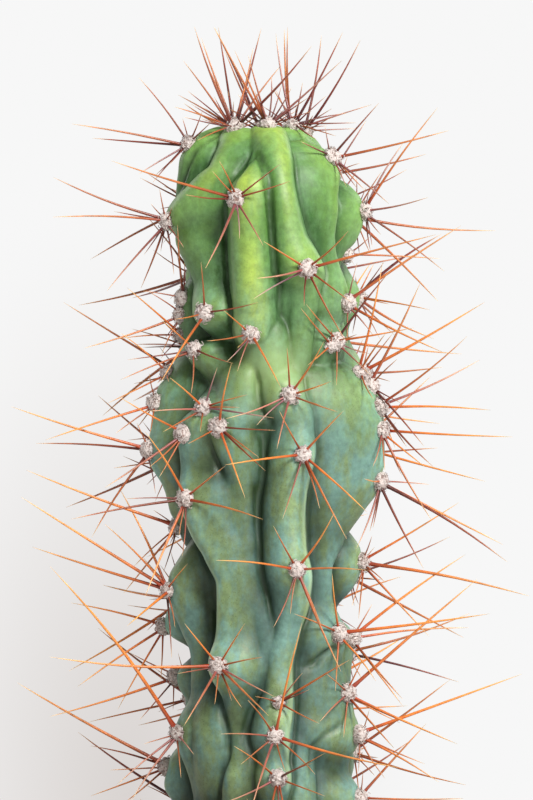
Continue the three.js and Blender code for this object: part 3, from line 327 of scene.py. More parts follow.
# (fall of the left flank, fall of the right flank, [(angle, out, up, half width of the rounded
# ridge, areole), ...]): degrees from the front to the right, and millimetres from the axis and up
# from the soil.
RIBS = [
    # Left finger, from its tip aslant to the left
    (2.2, 0.7, [
        (-40, 7, 247, 5), (-43, 14, 251.5, 5.5, "A1"), (-33, 20.5, 247, 6), (-33, 26.5, 241, 5),
        (-44, 29.8, 234.5, 5), (-56, 31.3, 229, 5.5), (-68, 32, 223.5, 6, "A6"), (-76, 25, 218, 6)]),
    # Body of the left finger, down to its free end
    (1.1, 1.1, [
        (-38, 25, 236, 8), (-48, 29, 226, 9), (-57, 30, 218, 9), (-52, 28, 211, 8), (-45, 27, 206, 7),
        (-38, 30, 196, 7, "A11"), (-37, 22, 189, 6)]),
    # Low ridge behind it
    (1.2, 1.2, [
        (-72, 21, 211, 5), (-74, 25.8, 200.6, 5, "A10a"), (-76, 26.2, 195.5, 5, "A10b"),
        (-78, 26.2, 189.5, 5, "A10c"), (-76, 23, 184, 5)]),
    # Knob under the left finger
    (1.5, 1.5, [
        (-50, 28, 185, 6, "A15"), (-40, 26, 178.4, 6), (-36, 21, 171, 5)]),
    # Back of the left shoulder
    (1.4, 1.2, [
        (-92, 10, 251, 5, "A1b"), (-80, 16.5, 251, 6), (-75, 24, 246.5, 6, "A4"), (-80, 27, 236, 6.5),
        (-84, 26.5, 225.5, 6.5), (-86, 21, 209, 6)]),
    # Front finger with a free end
    (2.2, 1.8, [
        (-5.5, 19, 245, 2), (-6.5, 26, 241.5, 3.4), (-8, 30, 238, 5), (-9.5, 32.5, 234.5, 6),
        (-10, 33.3, 230, 6.6), (-9.5, 32.8, 221, 6.6), (-9, 32.5, 205, 6.2), (-8.2, 32, 195, 5.8),
        (-8.5, 31.5, 189.5, 5, "A12"), (-8.5, 26, 185.5, 4)]),
    # Front rib right of it
    (1.3, 2.1, [
        (0, 6, 247, 5), (2, 14, 252.2, 5.5, "A2"), (6, 24, 246, 5.5), (8.5, 30, 234, 5),
        (13, 31.5, 220, 5.4), (22, 32.5, 209, 6.5, "A9"), (25.5, 29.5, 202, 5.5), (24, 28.3, 193, 4.5),
        (23, 27.5, 184, 4.5), (22, 25.5, 176, 4)]),
    # Right shoulder
    (0.12, 1.6, [
        (38, 17, 247.5, 3), (56, 23.5, 242.5, 3.5, "A7"), (49, 27.5, 230, 2.5), (50, 26, 216.5, 2.5),
        (56, 29, 199, 3, "A13"), (56, 24, 191, 5)]),
    # Behind the right shoulder
    (0.6, 1.3, [
        (60, 9, 252, 5, "A3"), (76, 14.5, 246, 5), (88, 20, 238, 5, "A7b"), (82, 29.5, 226.5, 3.5, "A8"),
        (86, 24, 213.5, 5, "A8b"), (86, 20, 206, 5), (82, 24, 188.6, 5), (80, 22, 177.5, 5)]),
    # Short knob under the right shoulder
    (0.6, 1.2, [
        (42, 24, 197, 6), (47, 28.5, 187.5, 6, "A14b"), (46, 26, 180.5, 6), (44, 22, 174, 6)]),
    # Right wing, which winds on down to the soil
    (0.3, 1.6, [
        (58, 22, 183, 3.5), (63, 31, 178, 3.5, "A20a"), (68, 36.5, 168, 3.5, "A21"),
        (68, 37, 161, 4, "A22"), (70, 37, 153, 4), (70, 36, 145.7, 4, "A23"), (67, 31, 136.5, 4),
        (57, 26.5, 128, 4), (47, 25.5, 119, 3.5), (47, 25.5, 111.5, 3.5), (49, 28.5, 100.4, 5, "A31a"),
        (53, 26.5, 92, 5), (59, 28, 82.4, 5, "A33"), (62, 28.4, 76.5, 5), (66, 30, 70, 5, "A39"),
        (66, 26, 60, 5), (68, 30, 51, 5, "A40"), (69, 26, 38, 5), (68, 30, 27, 5, ""), (66, 26, 12, 5),
        (65, 24, 0, 5)]),
    # Small spur of the wing with an areole of its own
    (0.8, 1.2, [
        (70, 22, 105, 4), (66, 28, 98.8, 4, "A31b"), (68, 26.8, 91, 4), (70, 26, 84.5, 4), (72, 22, 78, 4)]),
    # Right back
    (0.95, 0.9, [
        (87, 22, 134, 4), (80, 29, 121.4, 4, "A30"), (82, 26, 114, 4), (86, 20, 107, 4)]),
    # Far right of the top
    (1.2, 1.4, [
        (108, 7, 247, 5), (110, 12, 250.5, 5, ""), (112, 19, 243, 5), (113, 23, 236, 5.5),
        (114, 29, 225, 5.5, ""), (115, 25, 213, 5.5), (114, 30, 201, 5.5, ""), (112, 26, 190, 5),
        (110, 30.5, 178, 5, ""), (110, 26, 167, 5), (112, 30, 156, 5, ""), (114, 24, 143, 5)]),
    # Low swelling in the groove between the right wing and the far right
    (0.9, 0.9, [
        (86, 20, 112, 5), (88, 22.5, 96, 5), (86, 22.5, 76, 5), (84, 20, 60, 5)]),
    # Far right below it
    (0.7, 0.9, [
        (112, 23, 134, 5), (112, 27, 117, 5, ""), (112, 21, 107, 5), (110, 26, 94, 5, ""),
        (108, 25, 80, 5), (106, 27, 64, 5, ""), (104, 25, 48, 5), (102, 30, 33, 5, ""),
        (102, 25, 12, 5), (102, 24, 0, 5)]),
    # Far left
    (1, 0.7, [
        (238, 27, 190, 5), (240, 30.5, 178, 5, ""), (244, 26.5, 166, 5), (246, 31, 152, 5, ""),
        (248, 26, 140, 5), (244, 22, 130, 5), (240, 22, 122, 5), (236, 30, 110, 5, ""), (234, 26, 96, 5),
        (233, 28.5, 80, 5, ""), (234, 27, 64, 5), (234, 31, 48, 5, ""), (232, 26, 30, 5),
        (232, 30, 17, 5, ""), (232, 25, 0, 5)]),
    # Middle rib, which winds from its arched shoulder to the soil
    (1.25, 2.4, [
        (13, 24, 183, 6), (12, 28, 178.4, 6), (13, 31.5, 171.5, 5.5, "A16"), (20, 32, 163, 5),
        (18.5, 34, 153.8, 5, "A24"), (16, 32.8, 146, 5), (13.5, 32.5, 134, 5), (13.7, 33, 126, 5),
        (15.5, 34, 119.6, 5, "A27"), (18, 31.5, 111, 4.5), (13, 29.5, 101, 4.5), (8, 29.5, 92, 4.5),
        (6.8, 31, 80, 4.5, "A34"), (4.4, 32.5, 70, 4.5, "A35"), (5, 30.5, 63, 4.5),
        (5.8, 33, 57.5, 4.5, "A36"), (6, 29, 47, 4.5), (5, 32, 38, 5, ""), (4, 29, 26, 5),
        (5, 31, 17, 5, ""), (4, 27, 0, 5)]),
    # Young skin under the front finger, where the groove fills out
    (0.8, 0.8, [
        (2, 24, 198, 5), (3, 28.5, 189, 6), (3, 29, 182, 6), (4, 25, 173, 5)]),
    # Bulge under the front finger, with an areole on its left edge
    (2.4, 0.7, [
        (-17, 24, 180, 6), (-20, 28, 173, 6), (-27, 31.5, 162, 5, "A18"), (-23.5, 30.8, 155, 4.5),
        (-19, 29, 148, 4.5), (-16, 26, 140, 4), (-14, 22, 132, 4)]),
    # Left front rib, which winds from its knobs to the soil
    (2.2, 0.48, [
        (-38, 24, 174, 5), (-37, 31, 167.6, 5, "A17"), (-49, 33, 160, 4.5, "A19"), (-50, 32, 150.5, 4),
        (-45, 34, 140.6, 4.5, "A25"), (-40, 33, 131, 4), (-32, 31.5, 123, 3.5), (-25, 30.5, 115, 3.5),
        (-24, 31, 101, 4), (-25, 34, 90.8, 4.5, "A32"), (-20.5, 28.5, 80, 4.5), (-19.5, 27.5, 70, 4.5),
        (-20, 29.5, 58, 4.5), (-21, 28, 46, 5), (-27, 31.5, 34, 5, ""), (-25, 28, 18, 5), (-24, 25, 0, 5)]),
    # Right edge of the left front's broad face, over the middle groove
    (0.45, 2.5, [
        (-14, 24, 183, 4.2), (-16, 28.5, 176, 4.2), (-17, 29, 166, 4.2), (-17, 29, 156, 4.2),
        (-17, 28.6, 146, 4.2), (-17, 28.3, 136, 4.2), (-16, 28, 126, 4.2), (-13, 27.6, 115, 4.2),
        (-8, 27.6, 109, 4.2), (-2, 28.2, 102, 4.2), (0, 28.5, 97, 4.2), (-2, 28, 90, 4.2),
        (-6, 26, 83, 4.2)]),
    # Left wing
    (0.9, 0.6, [
        (-80, 25, 184, 3.5), (-80, 30, 178, 3.5, "A26a"), (-77, 34, 169, 3.5, "A26b"),
        (-77, 35, 162, 3.5), (-78, 36, 155, 3.5, "A26c"), (-80, 31, 143, 3.5), (-85, 27, 132, 3.5, "K2"),
        (-84, 22, 124, 4)]),
    # Left lower rib, down to the soil
    (0.9, 0.7, [
        (-60, 24, 130, 4), (-71, 31, 113, 4.5, "A28"), (-66, 28, 102.5, 5), (-57, 26, 93.5, 5),
        (-56, 26, 83, 5), (-62, 30, 70.4, 5, "A37"), (-58, 27, 59, 5), (-56, 25, 50, 5),
        (-60, 30, 38, 5, ""), (-59, 26, 24, 5), (-62, 29, 14, 5, ""), (-62, 25, 0, 5)]),
    # Lobe of the left lower rib, which leans over the left front one
    (1.2, 2, [
        (-46, 24, 86, 6), (-41, 28, 77, 8), (-39, 29.5, 68, 8), (-41, 28, 58, 8), (-45, 25, 49, 7)]),
    # Rib between the left lower and the left front one, low down
    (1, 1.2, [
        (-42, 24, 40, 5), (-42, 28, 28, 5), (-42, 26, 14, 5), (-42, 24, 0, 5)]),
    # Rib between the young one and the right wing, low down
    (1, 1, [
        (46, 24, 50, 5), (46, 28.5, 36, 5), (48, 26, 20, 5), (48, 24, 0, 5)]),
    # Behind it
    (0.9, 1.2, [
        (-92, 23, 114, 4), (-98, 31, 102, 5, "A29"), (-97, 22, 94, 4), (-100, 27.5, 87, 5, "A41"),
        (-97, 23, 77, 5), (-96, 24.5, 69, 5), (-95, 30, 60, 5, "A38"), (-95, 30.5, 54, 5),
        (-96, 26, 45, 5), (-95, 30, 36, 5, ""), (-94, 25, 22, 5), (-93, 24, 0, 5)]),
    # Young rib that starts low on the right of the middle
    (1.1, 1, [
        (24, 23, 72, 3), (21.5, 28.5, 61, 3.5), (20.5, 30.5, 51, 4), (22, 29.5, 42, 4.5),
        (26, 31, 32, 5, ""), (31, 28, 16, 5), (33, 25, 0, 5)]),
]
# The far side's ribs, which follow a rule: (angle at the top, angle at the bottom, top, bottom)
BACK_RIBS = [
    (148, 140, 252, 168), (186, 180, 252, 200), (224, 232, 252, 186), (196, 206, 206, 112),
    (154, 146, 176, 84), (200, 188, 106, 0), (150, 144, 76, 0)]
BACK_STEP = 24  # between areoles
BACK_CREST = 31.5
BACK_DIP = 26.5
BACK_WIDTH = 5
BACK_END = 21  # how far out a crest's free end lies, and how far it runs on
BACK_TAIL = 11
BACK_FALL = 0.9
BACK_SWAY = 4  # degrees to either side
BACK_FIRST = DOME_HEIGHT + 4  # the highest swelling of a rib that comes over the top
BACK_TOP = [(7, 247, 6), (14, 251, 7, ""), (25, 243, 5)]  # and that rib's points above it
NET_AROUND = 320
NET_STEP = 0.98  # between the net's rings, in millimetres along the stem
NECK_RINGS = 6
DOME_RINGS = 46
LAST_TILT = 88.5  # degrees from the column to the last ring round the tip
RELIEF_WINDOW = (14, 14, 7)  # net points round and along the stem, and millimetres of height
EDGE_WINDOW = (3, 0, 0.8)
SKIN_LUMPS = [(0.22, 9, 1), (0.1, 3.2, 2)]  # (height, size, seed)
SEAT_DEPTH, SEAT_REACH = 0.9, 2.8  # of the skin under a wool cushion
SWELL_HEIGHT, SWELL_REACH = 0.7, 7  # and of the swelling round it
CREASE_DEPTH = 0.7  # by which a groove's line is pressed in, where the edge value is under CREASE_FROM
CREASE_FROM = 0.4
SMOOTH_FOOT = 6  # over which the small shapes fade towards the soil
FOLD_WIDTH = 1.0  # of the sharp folds below
FOLD_STEPS = 40  # points along one
FOLD_ENDS = 5  # a fold fades over one part in so many at either end
# Sharp folds, where a lobe leans over the skin beside it: (depth, [(angle, up), ...])
SKIN_FOLDS = [
    # Round the tip of the front finger
    (1.4, [(2.3, 216), (2.1, 223), (0.6, 230.6), (-2.1, 238), (-6, 242.2), (-9, 242.6), (-13.7, 239.2),
           (-18.3, 233.9), (-21.5, 227)]),
    # Under the lobe at the right wing's narrow waist
    (1.6, [(56, 97), (46, 95.8), (39.6, 93.5), (35.5, 91.5), (24, 90)]),
    # From the wing's lower lobe aslant to the young rib
    (1.2, [(56, 74.5), (51, 73), (40.6, 70), (33, 66), (30, 62), (28, 57)]),
    # Left of the lower middle rib's swelling
    (1.1, [(1, 85), (-6.1, 80.6), (-10.1, 77.6), (-14.2, 72.5), (-15.8, 66.5)]),
    # Right of the left lobe that leans over
    (1.2, [(-32, 79), (-28, 75.5), (-25, 70), (-24, 64), (-28, 59), (-31, 55)]),
    # Between the left finger and the shoulder behind it
    (1.2, [(-62, 246), (-66, 241), (-72, 236), (-79, 231)]),
]
# Soft patches: (share, angle, level, spread in degrees, run in millimetres). The skin is freshest,
# and its crests are a young yellow green that is partly painted highlight, over the whole front of
# the top, on the front finger's lower part, on the rib right of it and on the left finger. One more
# patch fills the fold under the front finger with pale young skin.
YOUNG_AND_HIGHLIT_PATCHES = [
    (0.62, 2, 234, 42, 22), (1.0, -4, 209, 9, 17), (0.95, 12, 234, 11, 20), (0.8, -31, 236, 12, 12)]
PALE_PATCH = (1.0, 4, 178, 24, 8)


def chance(seed):
    """A repeatable number from 0 to 1."""
    value = math.sin(seed * 127.1) * 43758.5453
    return value - math.floor(value)


def mix(a, b, t):
    """The value a share t of the way from a to b."""
    return a + (b - a) * t


def from_core(out, up):
    """How far along the stem and how far from its core's line a point is, for arrays too."""
    above = np.maximum(np.asarray(up, float) - DOME_HEIGHT, 0)
    level = np.minimum(up, DOME_HEIGHT) + DOME_RADIUS * np.arctan2(above, out)
    return level, np.hypot(out, above)


def back_rib(row, index):
    """The crest of a rib on the far side: areoles on swellings, with dips between them."""
    top_angle, bottom_angle, top, bottom = row
    over_top = top > DOME_HEIGHT
    points = [(top_angle, *point) for point in BACK_TOP] if over_top else []
    first = BACK_FIRST if over_top else top
    count = max(1, round((first - bottom) / BACK_STEP))
    if not over_top:
        points.append((top_angle, BACK_END, first + BACK_TAIL, BACK_WIDTH))
    for i in range(count + 1):
        seed = index * 40 + i
        up = mix(first, bottom, i / count)
        angle = mix(top_angle, bottom_angle, i / count) + mix(-BACK_SWAY, BACK_SWAY, chance(seed))
        ends = 3 if i == 0 and not over_top else 0
        if up > RIBS_FULL - 4:
            crest = BACK_CREST - ends + mix(-1.5, 2, chance(seed + 0.3))
            points.append((angle, crest, up, BACK_WIDTH, ""))
        else:
            points.append((angle, NECK_RADIUS + 1, up, BACK_WIDTH))
        if i < count:
            dip = BACK_DIP + mix(-1, 1, chance(seed + 0.6))
            points.append((angle, dip, up - (first - bottom) / count / 2, BACK_WIDTH - 0.5))
    if bottom > 0:
        points.append((bottom_angle, BACK_END, bottom - BACK_TAIL, BACK_WIDTH))
    return points


def curve(xs, ys, x):
    """A smooth curve through the points (xs, ys) that never swings past one of them."""
    steps = np.diff(ys) / np.diff(xs)
    slopes = np.zeros(len(xs))
    same_way = steps[:-1] * steps[1:] > 0
    total = np.where(same_way, steps[:-1] + steps[1:], 1)
    slopes[1:-1] = np.where(same_way, 2 * steps[:-1] * steps[1:] / total, 0)
    i = np.clip(np.searchsorted(xs, x, side="left") - 1, 0, len(xs) - 2)
    span = xs[i + 1] - xs[i]
    t = np.clip((x - xs[i]) / span, 0, 1)
    back = 1 - t
    start = (1 + 2 * t) * ys[i] + t * span * slopes[i]
    end = (1 + 2 * back) * ys[i + 1] - back * span * slopes[i + 1]
    return back * back * start + t * t * end


def tilt_at(level):
    """How far the way out to the skin leans up at a level, in radians: none under the dome."""
    return np.maximum(0, (level - DOME_HEIGHT) / DOME_RADIUS)


def reach_at(angle, level):
    """How far the skin lies from the core's line: the outermost of the core and the ribs."""
    tilt = tilt_at(level)
    core = mix(CORE_RADIUS, APEX_REACH, np.minimum(tilt / (math.pi / 2), 1))
    total = np.exp(core / BLEND)
    for left, right, levels, angles, reaches, widths in rib_lines:
        on = (level >= levels[0]) & (level <= levels[-1])
        crest, width = curve(levels, reaches, level), curve(levels, widths, level)
        arm = np.maximum(crest - width, LEAST_ARM)
        turn = np.radians((angle - curve(levels, angles, level) + 540) % 360 - 180)
        fall = np.where(turn < 0, left, right)
        drift = np.radians(curve(levels, angles, level + 1) - curve(levels, angles, level - 1)) / 2
        aside = np.abs(turn) * arm * np.cos(tilt) / np.hypot(1, drift * crest * np.cos(tilt))
        near = np.minimum(aside, width * fall / np.hypot(1, fall))
        bulge = np.sin(math.pi * np.minimum((aside - near) / FLANK_LENGTH, 1))
        ridge = crest - width + np.sqrt(width * width - near * near)
        height = ridge - fall * (aside - near - PLUMPNESS * bulge)
        height = np.where(on, height, 0)
        total += np.exp(height / BLEND)
    t = np.clip((level - RIBS_FROM) / (RIBS_FULL - RIBS_FROM), 0, 1)
    t = t * t * (3 - 2 * t)
    return mix(NECK_RADIUS, np.log(total) * BLEND, t)


def point_at(angle, level, reach):
    """The point at a reach from the core's line, in millimetres in the CAD frame."""
    tilt = tilt_at(level)
    out = reach * np.cos(tilt)
    turn = np.radians(angle)
    up = SOIL_LEVEL + np.minimum(level, DOME_HEIGHT) + reach * np.sin(tilt)
    return np.stack(np.broadcast_arrays(out * np.sin(turn), -out * np.cos(turn), up), -1)


def skin_at(angle, level):
    """The point of the bare skin at an angle and a level."""
    return point_at(angle, level, reach_at(angle, level))


def skin_normal(angle, level):
    """The way straight out of the skin, smoothed over two millimetres and four degrees."""
    along = skin_at(angle, level + 1) - skin_at(angle, level - 1)
    across = skin_at(angle + 2, level) - skin_at(angle - 2, level)
    normal = np.cross(across, along)
    return normal / np.linalg.norm(normal, axis=-1, keepdims=True)


all_ribs = RIBS + [(BACK_FALL, BACK_FALL, back_rib(row, i)) for i, row in enumerate(BACK_RIBS)]
rib_lines = []
for left, right, crest in all_ribs:
    line = []
    for angle, out, up, width, *_ in crest:
        level, reach = from_core(out, up)
        line.append((float(level), angle, float(reach), width))
    line.sort()
    low, high = line[0], line[-1]
    line.insert(0, (low[0] - CREST_RUN, low[1], CREST_END, low[3]))
    line.append((high[0] + CREST_RUN, high[1], CREST_END, high[3]))
    rib_lines.append((left, right, *np.array(line).T))

areole_names = [point[4] for *_, crest in all_ribs for point in crest if len(point) > 4]
spots = np.array([point[:3] for *_, crest in all_ribs for point in crest if len(point) > 4])
areole_angle, areole_level = spots[:, 0], from_core(spots[:, 1], spots[:, 2])[0]
areole_foot = skin_at(areole_angle, areole_level)
areole_normal = skin_normal(areole_angle, areole_level)

levels = np.concatenate([
    np.linspace(-NECK_DEPTH, -2, NECK_RINGS), np.arange(-1, DOME_HEIGHT - NET_STEP / 2, NET_STEP),
    DOME_HEIGHT + DOME_RADIUS * np.radians(np.linspace(0, LAST_TILT, DOME_RINGS))])
angles = np.arange(NET_AROUND) * 360 / NET_AROUND
net_angle, net_level = np.meshgrid(angles, levels)
reach = reach_at(net_angle, net_level)
net = point_at(net_angle, net_level, reach)

# The net's own normals, for the small shapes that stand on the skin
along = np.gradient(net, axis=0)
across = np.roll(net, -1, 1) - np.roll(net, 1, 1)
normals = np.cross(across, along)
normals /= np.linalg.norm(normals, axis=-1, keepdims=True) + 1e-9


def stands_out(across, along, height):
    """How far the skin stands out over its neighbourhood: 0 in a groove, 0.5 if level, 1 on a crest."""
    wide = sum(np.roll(reach, k, 1) for k in range(-across, across + 1)) / (2 * across + 1)
    padded = np.pad(wide, ((along, along), (0, 0)), mode="edge")
    wide = sum(padded[k:k + len(levels)] for k in range(2 * along + 1)) / (2 * along + 1)
    return np.clip(0.5 + (reach - wide) / height, 0, 1)


def patch(share, angle, level, spread, run):
    """A soft patch on the net, from its share in the middle down to nothing."""
    aside = (net_angle - angle + 180) % 360 - 180
    return share * np.exp(-(aside / spread) ** 2 - ((net_level - level) / run) ** 2)


relief, edge = stands_out(*RELIEF_WINDOW), stands_out(*EDGE_WINDOW)
# Where the skin is freshest its crests are a young yellow green, partly painted highlight
fresh = np.max([patch(*row) for row in YOUNG_AND_HIGHLIT_PATCHES], axis=0)
fold = patch(*PALE_PATCH)
flat = net.reshape(-1, 3)
rise = sum(lumps(flat, *row) for row in SKIN_LUMPS)
rise -= CREASE_DEPTH * np.clip((CREASE_FROM - edge.reshape(-1)) / CREASE_FROM, 0, 1)
fold_line = np.zeros(len(flat))
for depth, places in SKIN_FOLDS:
    places = np.array(places)
    way = np.linspace(0, len(places) - 1, FOLD_STEPS)
    along_fold = [np.interp(way, np.arange(len(places)), column) for column in places.T]
    pressed = np.zeros(len(flat))
    for t, spot in zip(np.linspace(0, 1, FOLD_STEPS), skin_at(*along_fold)):
        near = np.exp(-(np.linalg.norm(flat - spot, axis=1) / FOLD_WIDTH) ** 2)
        pressed = np.maximum(pressed, near * min(1, FOLD_ENDS * t, FOLD_ENDS * (1 - t)))
    rise -= depth * pressed
    fold_line = np.maximum(fold_line, pressed)
for foot in areole_foot:
    away = np.linalg.norm(flat - foot, axis=1)
    rise += SWELL_HEIGHT * np.exp(-(away / SWELL_REACH) ** 2)
    rise -= (SEAT_DEPTH + SWELL_HEIGHT) * np.exp(-(away / SEAT_REACH) ** 2)
in_air = np.clip((net_level.reshape(-1) - 1) / SMOOTH_FOOT, 0, 1)
flat = flat + normals.reshape(-1, 3) * (rise * in_air)[:, None]

rows, around = len(levels), NET_AROUND
faces = []
for row in range(rows - 1):
    low, high = row * around, (row + 1) * around
    faces += [(low + i, low + (i + 1) % around, high + (i + 1) % around, high + i) for i in range(around)]
foot, tip = rows * around, rows * around + 1
last = (rows - 1) * around
for i in range(around):
    faces += [(foot, (i + 1) % around, i), (last + i, last + (i + 1) % around, tip)]
ends = [(0, 0, SOIL_LEVEL - NECK_DEPTH), (0, 0, flat[last:, 2].max() + 0.05)]
stem = mesh_piece("stem_skin", np.concatenate([flat, ends]), faces)
for name, values in (("relief", relief), ("edge", edge), ("fresh", fresh), ("fold", fold),
                     ("fold_line", fold_line)):
    layer = stem.data.attributes.new(name, "FLOAT", "POINT")
    layer.data.foreach_set("value", np.append(values.reshape(-1), (0.5, 0.5)).astype(np.float32))

# Cactus skin: a tough green rind under a thin, pale blue bloom of wax. Young flesh at the top is
# a translucent yellow green and shines softly; the old skin below is blue green, duller, flecked
# with olive and finely pored. Painted shade darkens its grooves and creases, and painted highlights
# lighten its crests and run along the old ribs' sharp edges.
skin, tree, shader = new_material("waxy_cactus_skin")
place = node(tree, "ShaderNodeTexCoord").outputs["Object"]
height = node(tree, "ShaderNodeSeparateXYZ", {0: place}).outputs["Z"]
relief = node(tree, "ShaderNodeAttribute", attribute_name="relief").outputs["Fac"]
edge = node(tree, "ShaderNodeAttribute", attribute_name="edge").outputs["Fac"]
broad = node(tree, "ShaderNodeTexNoise", {"Vector": place, "Scale": every(26.3), "Detail": 3}).outputs[0]
hanging = node(tree, "ShaderNodeMapping", {"Vector": place, "Scale": (1, 1, 0.45)}).outputs[0]
patchy = node(tree, "ShaderNodeTexNoise", {
    "Vector": hanging, "Scale": every(7.7), "Detail": 8, "Roughness": 0.7}).outputs[0]
grainy = node(tree, "ShaderNodeTexNoise", {
    "Vector": place, "Scale": every(2.083), "Detail": 5, "Roughness": 0.7}).outputs[0]
fine = node(tree, "ShaderNodeTexNoise", {"Vector": place, "Scale": every(0.909), "Detail": 3}).outputs[0]
pores = node(tree, "ShaderNodeTexVoronoi", {"Vector": place, "Scale": every(0.8)}).outputs["Distance"]

# Young at the top and older towards the soil. The olive, green and teal go from painted shade in
# the grooves to painted highlight on the crests
wavy = node(tree, "ShaderNodeMath", {0: broad, 1: 0.06, 2: height}, operation="MULTIPLY_ADD").outputs[0]
top = node(tree, "ShaderNodeMapRange", {0: wavy, 1: 0.3, 2: 0.39},
           interpolation_type="SMOOTHSTEP").outputs[0]
# Painted shade in the grooves and painted highlight on the crests, from the skin's relief
groove_shade_crest_light = node(tree, "ShaderNodeMapRange", {0: relief, 1: 0.24, 2: 0.9}).outputs[0]
olive = node(tree, "ShaderNodeMix", {0: groove_shade_crest_light, 6: linear("33452B"), 7: linear("879E6C")},
             data_type="RGBA").outputs[2]
flank = node(tree, "ShaderNodeMix", {0: groove_shade_crest_light, 6: linear("335C25"), 7: linear("7AA551")},
             data_type="RGBA").outputs[2]
# In the fresh patches the crests take a young yellow green that is partly painted highlight
on_front = node(tree, "ShaderNodeAttribute", attribute_name="fresh").outputs["Fac"]
on_crest = node(tree, "ShaderNodeMapRange", {0: relief, 1: 0.55, 2: 0.9}).outputs[0]
crest = node(tree, "ShaderNodeMath", {0: on_crest, 1: on_front}, operation="MULTIPLY").outputs[0]
young = node(tree, "ShaderNodeMix", {0: crest, 6: flank, 7: linear("C3D452")}, data_type="RGBA").outputs[2]
green = node(tree, "ShaderNodeMix", {0: top, 6: olive, 7: young}, data_type="RGBA").outputs[2]
# The bloom lies in patches, thick and teal on the old skin, and thin on the young; its teal too
# goes from painted shade in the grooves to painted highlight on the crests
thick = node(tree, "ShaderNodeMapRange", {0: patchy, 1: 0.42, 2: 0.58, 4: 0.95}).outputs[0]
thin = node(tree, "ShaderNodeMapRange", {0: top, 3: 1.0, 4: 0.35}).outputs[0]
bloom = node(tree, "ShaderNodeMath", {0: thick, 1: thin}, operation="MULTIPLY").outputs[0]
teal = node(tree, "ShaderNodeMix", {0: groove_shade_crest_light, 6: linear("385148"), 7: linear("7BA598")},
            data_type="RGBA").outputs[2]
wax = node(tree, "ShaderNodeMix", {0: top, 6: teal, 7: linear("74A06A")}, data_type="RGBA").outputs[2]
waxed = node(tree, "ShaderNodeMix", {0: bloom, 6: green, 7: wax}, data_type="RGBA").outputs[2]
mottle = node(tree, "ShaderNodeMapRange", {0: grainy, 1: 0.35, 2: 0.65, 3: 0.8, 4: 1.16}).outputs[0]
mottled = node(tree, "ShaderNodeMix", {0: 1.0, 6: waxed, 7: mottle},
               data_type="RGBA", blend_type="MULTIPLY").outputs[2]
# Painted shade darkens the creases and the folds where a lobe leans over, and a painted highlight
# runs along the old ribs' sharp edges
# Painted shade in the closed grooves and along the folds
groove_shade = node(tree, "ShaderNodeMapRange", {0: edge, 1: 0.4, 2: 0.0, 4: 0.55}).outputs[0]
on_fold = node(tree, "ShaderNodeAttribute", attribute_name="fold_line").outputs["Fac"]
pressed = node(tree, "ShaderNodeMath", {0: on_fold, 1: 0.6}, operation="MULTIPLY").outputs[0]
closed = node(tree, "ShaderNodeMath", {0: groove_shade, 1: pressed}, operation="MAXIMUM").outputs[0]
crease_shaded = node(tree, "ShaderNodeMix", {0: closed, 6: mottled, 7: linear("1F3316")},
               data_type="RGBA").outputs[2]
aged = node(tree, "ShaderNodeMapRange", {0: top, 3: 0.6, 4: 0.25}).outputs[0]
# A painted highlight along the old ribs' sharp edges
edge_highlight = node(tree, "ShaderNodeMapRange", {0: edge, 1: 0.72, 2: 0.95, 4: aged}).outputs[0]
edge_highlighted = node(tree, "ShaderNodeMix", {0: edge_highlight, 6: crease_shaded, 7: linear("B2CD9C")},
             data_type="RGBA").outputs[2]
# Pale young skin fills the fold under the front finger
in_fold = node(tree, "ShaderNodeAttribute", attribute_name="fold").outputs["Fac"]
folded = node(tree, "ShaderNodeMath", {0: in_fold, 1: 0.6}, operation="MULTIPLY").outputs[0]
filled = node(tree, "ShaderNodeMix", {0: folded, 6: edge_highlighted, 7: linear("A9C47C")}, data_type="RGBA").outputs[2]
# Dark flecks where the bloom has worn off
fleck_here = node(tree, "ShaderNodeMapRange", {0: pores, 1: 0.3, 2: 0.16, 4: 0.6}).outputs[0]
bare = node(tree, "ShaderNodeMapRange", {0: patchy, 1: 0.5, 2: 0.42}).outputs[0]
worn = node(tree, "ShaderNodeMath", {0: bare, 1: aged}, operation="MULTIPLY").outputs[0]
fleck = node(tree, "ShaderNodeMath", {0: fleck_here, 1: worn}, operation="MULTIPLY").outputs[0]
flecked = node(tree, "ShaderNodeMix", {0: fleck, 6: filled, 7: linear("3F4A22")},
               data_type="RGBA").outputs[2]
# Just over the soil the rind has turned to cork
cork_wavy = node(tree, "ShaderNodeMath", {0: patchy, 1: 0.02, 2: height},
                 operation="MULTIPLY_ADD").outputs[0]
corky = node(tree, "ShaderNodeMapRange", {0: cork_wavy, 1: 0.153, 2: 0.139}).outputs[0]
rind = node(tree, "ShaderNodeMix", {0: corky, 6: flecked, 7: linear("9A8260")}, data_type="RGBA").outputs[2]
grain = node(tree, "ShaderNodeBump", {"Height": fine, "Strength": 0.2, "Distance": 0.0002})
dimpled = node(tree, "ShaderNodeBump", {"Height": patchy, "Strength": 0.2, "Distance": 0.0008,
                                        "Normal": grain.outputs[0]})
dull = node(tree, "ShaderNodeMapRange", {0: bloom, 3: 0.46, 4: 0.66}).outputs[0]
tree.links.new(rind, shader.inputs["Base Color"])
tree.links.new(dull, shader.inputs["Roughness"])
tree.links.new(dimpled.outputs[0], shader.inputs["Normal"])
shader.inputs["IOR"].default_value = 1.45
shader.inputs["Subsurface Weight"].default_value = 0.12
shader.inputs["Subsurface Radius"].default_value = (0.5, 1.0, 0.25)
shader.inputs["Subsurface Scale"].default_value = 0.0014
stem.data.materials.append(skin)
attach(stem, "root")
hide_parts("cactus_stem")

